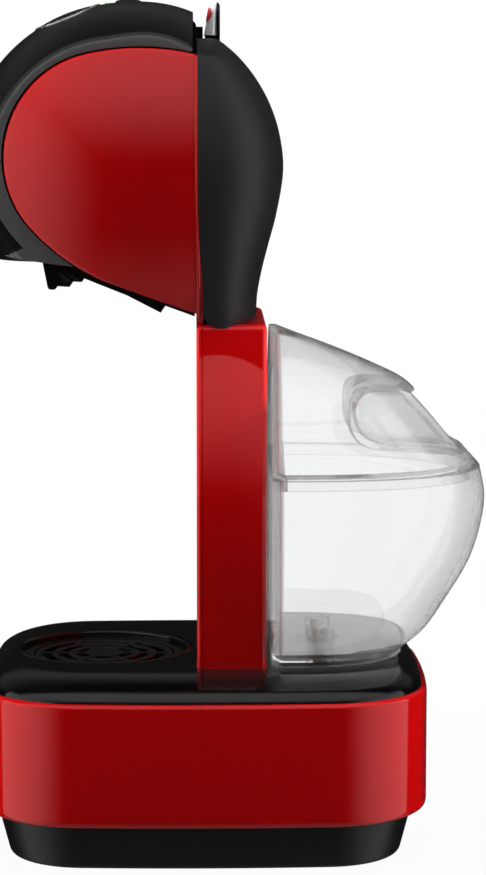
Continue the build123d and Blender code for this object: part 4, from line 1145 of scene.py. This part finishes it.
# Power button
button = {"x": -29.0, "radius": 5.2, "root": 2.4, "skirt": 0.2, "domeSteps": 12, "steps": 48, "sharp": 60}


def buildButton():
    ground = headZ + head["radius"]
    radius = button["radius"]
    root = ground - button["root"]
    skirt = ground + button["skirt"]
    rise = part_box("power_button")[1].z / mm - skirt
    profile = [(0.0, root), (radius, root), (radius, skirt)]
    for turn in quarterTurns(button["domeSteps"])[1:]:   # low dome
        profile.append((radius * math.cos(turn), skirt + rise * math.sin(turn)))
    mesh = latheMesh("buttonDome", profile, button["x"], button["steps"])
    return addPiece("buttonDome", mesh, "visorSatin", "button", ("power_button",),
                    button["sharp"])


print("button:", buildButton().name)


# Tank and lid; their levels are heights with the depth and half the width there
tank = {"front": 25.4, "wall": 3.4, "fullness": 2.5, "corner": 5.0, "cornerShare": 0.4, "cornerLeast": 0.6,
        "turns": 56, "cornerSteps": 6, "frontSteps": 8, "steps": 40, "lift": 2.0, "clear": 0.06,
        "chamfer": 0.3, "floorIn": 0.6,
        "levels": ((0.0, 52.6, 44.0), (8.0, 61.8, 50.0), (20.0, 70.0, 54.2), (34.5, 78.6, 56.8),
                   (48.0, 83.0, 57.8), (60.0, 84.6, 58.0), (71.4, 82.6, 58.0))}
lid = {"wall": 2.4, "spigot": 4.0, "spigotPast": 1.0, "spigotWall": 1.8, "crown": 2.6, "play": 0.3,
       "steps": 44, "sharp": 30,
       "levels": ((0.0, 82.6, 58.0), (8.6, 75.0, 55.8), (17.6, 67.6, 52.4), (25.6, 60.6, 48.4),
                  (33.0, 53.2, 43.6), (38.8, 41.6, 38.0), (45.3, 26.2, 29.4), (51.0, 11.0, 18.4),
                  (54.2, 3.2, 8.0))}
tankZ = deckZ + tank["lift"]
tankTall = tank["levels"][-1][0]
seamZ = tankZ + tankTall


def tankRing(depth, half, inset, z):
    share = tank["cornerShare"]
    corner = max(min(tank["corner"], half * share, depth * share) - inset, tank["cornerLeast"])
    front = tank["front"] + inset
    rear = tank["front"] + depth - inset
    half = half - inset
    turns = quarterTurns(tank["cornerSteps"])
    steps = tank["frontSteps"]
    ring = dRing(front + corner, rear, half, tank["fullness"], z, tank["turns"])
    for turn in turns[1:]:
        ring.append((front + corner * (1 - math.sin(turn)), -half + corner * (1 - math.cos(turn)), z))
    for step in range(1, steps):
        ring.append((front, (-half + corner) * (1 - 2 * step / steps), z))
    for turn in turns[:-1]:
        ring.append((front + corner * (1 - math.cos(turn)), half - corner * (1 - math.sin(turn)), z))
    return ring


def levelRing(levels, z0, height, inset, lower=0.0):
    depth = through(levels, height, 1)
    half = through(levels, height, 2)
    return tankRing(depth, half, inset, z0 + height - lower)


def buildTank():
    # a clear cup on a low skirt; its floor stays off the deck
    levels, wall, chamfer, steps = tank["levels"], tank["wall"], tank["chamfer"], tank["steps"]
    foot = deckZ + tank["clear"]
    depth, half = levels[0][1:]
    skirt = ((wall, tankZ), (wall, foot), (chamfer, foot), (0, foot + chamfer))
    rings = [tankRing(depth, half, inset, z) for inset, z in skirt]
    rings += [levelRing(levels, tankZ, tankTall * k / steps, 0) for k in range(steps + 1)]
    rings += [levelRing(levels, tankZ, tankTall * k / steps, wall) for k in range(steps, 1, -1)]
    rings.append(levelRing(levels, tankZ, wall, wall + tank["floorIn"]))
    mesh = ringMesh("tankBody", rings)
    mesh.polygons[-1].material_index = 1   # the floor inside is frosted
    finish = ("clearPlastic", "frostClear")
    return addPiece("tankClear", mesh, finish, "tank", ("tank_body",))


pocket = {"front": 56.5, "top": 31.0, "low": 4.4, "topRound": 7.5, "lowRound": 13.0, "roundSteps": 12,
          "slope": 5.0, "half": 23.0, "rear": 122.0, "edges": ((0.0, 3.0), (0.9, 0.9), (3.0, 0.0)),
          "edgeTall": 0.5, "grow": 0.5}


def pocketMesh(name, more):
    # a finger pocket open to the rear, with rounded side edges: distance from the side, draw-back there
    front, rear = pocket["front"] - more, pocket["rear"]
    top = seamZ + pocket["top"] + more
    low = seamZ + pocket["low"] - more
    middle = (top + low) / 2
    corners = ((rear, top), (front, top), (front, low + pocket["slope"]), (rear, low))
    outline = roundedPath(corners, (0, pocket["topRound"], pocket["lowRound"], 0), pocket["roundSteps"])
    half = pocket["half"] + more
    rows = [(-half + inward, shrink) for inward, shrink in pocket["edges"]]
    rows += [(half - inward, shrink) for inward, shrink in reversed(pocket["edges"])]
    rings = []
    for y, shrink in rows:
        tall = shrink * pocket["edgeTall"]
        rings.append([(x + (shrink if x < rear else 0), y, z + math.copysign(tall, middle - z))
                      for x, z in outline])
    return tidyMesh(ringMesh(name, rings))


def buildLid():
    levels, wall, steps = lid["levels"], lid["wall"], lid["steps"]
    height = levels[-1][0]
    rim = tank["wall"] + lid["play"]
    seam = (tank["levels"], tankZ, tankTall)
    outside = [levelRing(levels, seamZ, height * k / steps, 0) for k in range(steps, -1, -1)]
    outside += [levelRing(*seam, rim, drop) for drop in (0.0, lid["spigot"])]
    past = lid["spigot"] + lid["spigotPast"]
    hollow = [levelRing(*seam, rim + lid["spigotWall"], drop) for drop in (past, 0.0)]
    tall = height - lid["crown"]
    hollow += [levelRing(levels, seamZ, tall * k / steps, wall) for k in range(2, steps + 1)]
    solid, room = [tidyMesh(ringMesh("lidPart", rings)) for rings in (outside, hollow)]
    grow = wall * pocket["grow"]
    room = combine(room, pocketMesh("pocketCup", grow), "DIFFERENCE")
    mesh = combine(solid, room, "DIFFERENCE")
    mesh = combine(mesh, pocketMesh("pocketRoom", -grow), "DIFFERENCE")
    return addPiece("lidClear", mesh, "clearPlastic", "lid", ("tank_lid",), lid["sharp"])


print("tank:", buildTank().name, buildLid().name)

# Nodes that keep their own shape get their finish here
nodeFinishes = {
    "panBlack": ("drip_bowl", "cord_gland", "tank_inlet", "column_back", "head_frame", "head_cowl",
                 "head_floor", "injector_plate"),
    "rubberBlack": ("pump_mounts", "inlet_seal", "injector_seal"),
    "plainSteel": ("base_screws", "column_screws", "handle_pin", "lever_pin", "thermostat",
                   "injector_needle"),
    "mouldedGrey": ("pump_body", "selector_valve"),
    "turnedBrass": ("pump_outlet",),
    "milkyHose": ("suction_hose", "pressure_hose", "valve_stem"),
    "smokeClear": ("tank_valve",),
    "boardGreen": ("control_board", "button_board"),
    "castAluminium": ("thermoblock",),
    "bulkheadTwoTone": ("head_bulkhead",),
    "facetGrey": ("cheek_right", "cheek_left"),
    "lensGreen": ("status_lens",),
}
for finish, names in nodeFinishes.items():
    for name in names:
        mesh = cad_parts[name].data
        mesh.materials.clear()
        mesh.materials.append(finishes[finish])
print("plain nodes finished")


# Studio
studio = {"floor": 3.0, "floorGrey": 0.22, "floorRough": 0.6, "white": 0.97, "fadeFrom": 0.12, "fadeTo": 0.32,
          "ambient": 0.13, "zenith": 9.0, "zenithFrom": 0.82, "zenithTo": 0.99,
          "flank": 20.0, "flankFrom": 0.88, "flankTo": 0.99, "dark": 0.015,
          "top": 1.0, "topFrom": 0.0, "topTo": 0.6, "topBack": 0.1, "topFront": -0.2,
          "side": 1.0, "sideFrom": 0.35, "sideTo": 0.9, "sideTop": 0.6, "sideLow": 0.3,
          "edgeFrom": 0.27, "edgeTo": 0.24, "low": 0.27, "lowFrom": -0.4, "lowTo": -0.85,
          "back": 0.12, "backFrom": 0.24, "backTo": 0.45, "backEdge": 0.2, "backDeep": 0.6, "backTop": 0.92,
          "backFull": 0.5}
view = {"place": (-0.0085, -1.0855, 0.2909), "pitch": -6.963, "yaw": 0.8006, "lens": 114.2, "sensor": 36.0}


def buildFloor():
    half, grey = studio["floor"], studio["floorGrey"]
    mesh = bpy.data.meshes.new("floor")
    corners = [(-half, -half, 0), (half, -half, 0), (half, half, 0), (-half, half, 0)]
    mesh.from_pydata(corners, [], [(0, 1, 2, 3)])
    paint = Paint("paleFloor", {"Base Color": rgba(grey, grey, grey), "Roughness": studio["floorRough"]})
    x, y = paint.parts(paint.place(), "XY")
    reach = (x ** 2 + y ** 2) ** 0.5
    white = studio["white"] + (1 - studio["white"]) * paint.eased(reach, studio["fadeFrom"], studio["fadeTo"])
    glow = paint.node("ShaderNodeEmission", {}, {"Color": rgba(1, 1, 1), "Strength": 1.0})
    plain = Wire(paint, paint.shader.outputs[0])
    mixed = paint.node("ShaderNodeMixShader", {}, {0: paint.seen() * white, 1: plain, 2: glow})
    paint.feed(paint.tree.nodes["Material Output"].inputs[0], mixed)
    mesh.materials.append(paint.material)
    floor = newObject("floor", mesh)
    floor.visible_glossy = False


def buildWorld():
    # white where the camera looks; one even light for lit surfaces and one shaped light for reflections
    world = bpy.data.worlds.new("studio")
    bpy.context.scene.world = world
    world.use_nodes = True
    nodes = Nodes(world.node_tree)
    x, y, z = nodes.parts(nodes.node("ShaderNodeTexCoord", {}, {}, "Generated"), "XYZ")
    across = nodes.node("ShaderNodeMath", {"operation": "ABSOLUTE"}, {0: x})

    def grey(level):
        return nodes.node("ShaderNodeVectorMath", {"operation": "SCALE"}, {0: (1.0, 1.0, 1.0), 3: level})

    def fade(value, low, high):
        return nodes.eased(value, studio[low], studio[high])

    def zone(value, key):
        return fade(value, key + "From", key + "To") * studio[key]

    lit = studio["ambient"] + zone(z, "zenith") + zone(across, "flank")
    sides = zone(across, "side") * fade(z, "sideTop", "sideLow") * fade(y, "edgeFrom", "edgeTo")
    top = zone(z, "top") * fade(y, "topBack", "topFront")
    back = zone(z, "back") * fade(y, "backEdge", "backDeep") * fade(z, "backTop", "backFull")
    mirrored = studio["dark"] + nodes.largest(sides, top) + back + zone(z, "low")
    shade = nodes.between(nodes.ray("Is Diffuse Ray"), grey(mirrored), grey(lit))
    colour = nodes.between(nodes.seen(), shade, rgba(1, 1, 1))
    nodes.feed(world.node_tree.nodes["Background"].inputs["Color"], colour)


def buildCamera():
    camera = bpy.data.cameras.new("photoCamera")
    camera.lens = view["lens"]
    camera.sensor_width = view["sensor"]
    eye = newObject("photoCamera", camera)
    eye.location = view["place"]
    eye.rotation_euler = (math.radians(90 + view["pitch"]), 0, math.radians(-view["yaw"]))
    bpy.context.scene.camera = eye


buildFloor()
buildWorld()
buildCamera()
bpy.context.scene.view_settings.view_transform = "Standard"
print("studio ready")
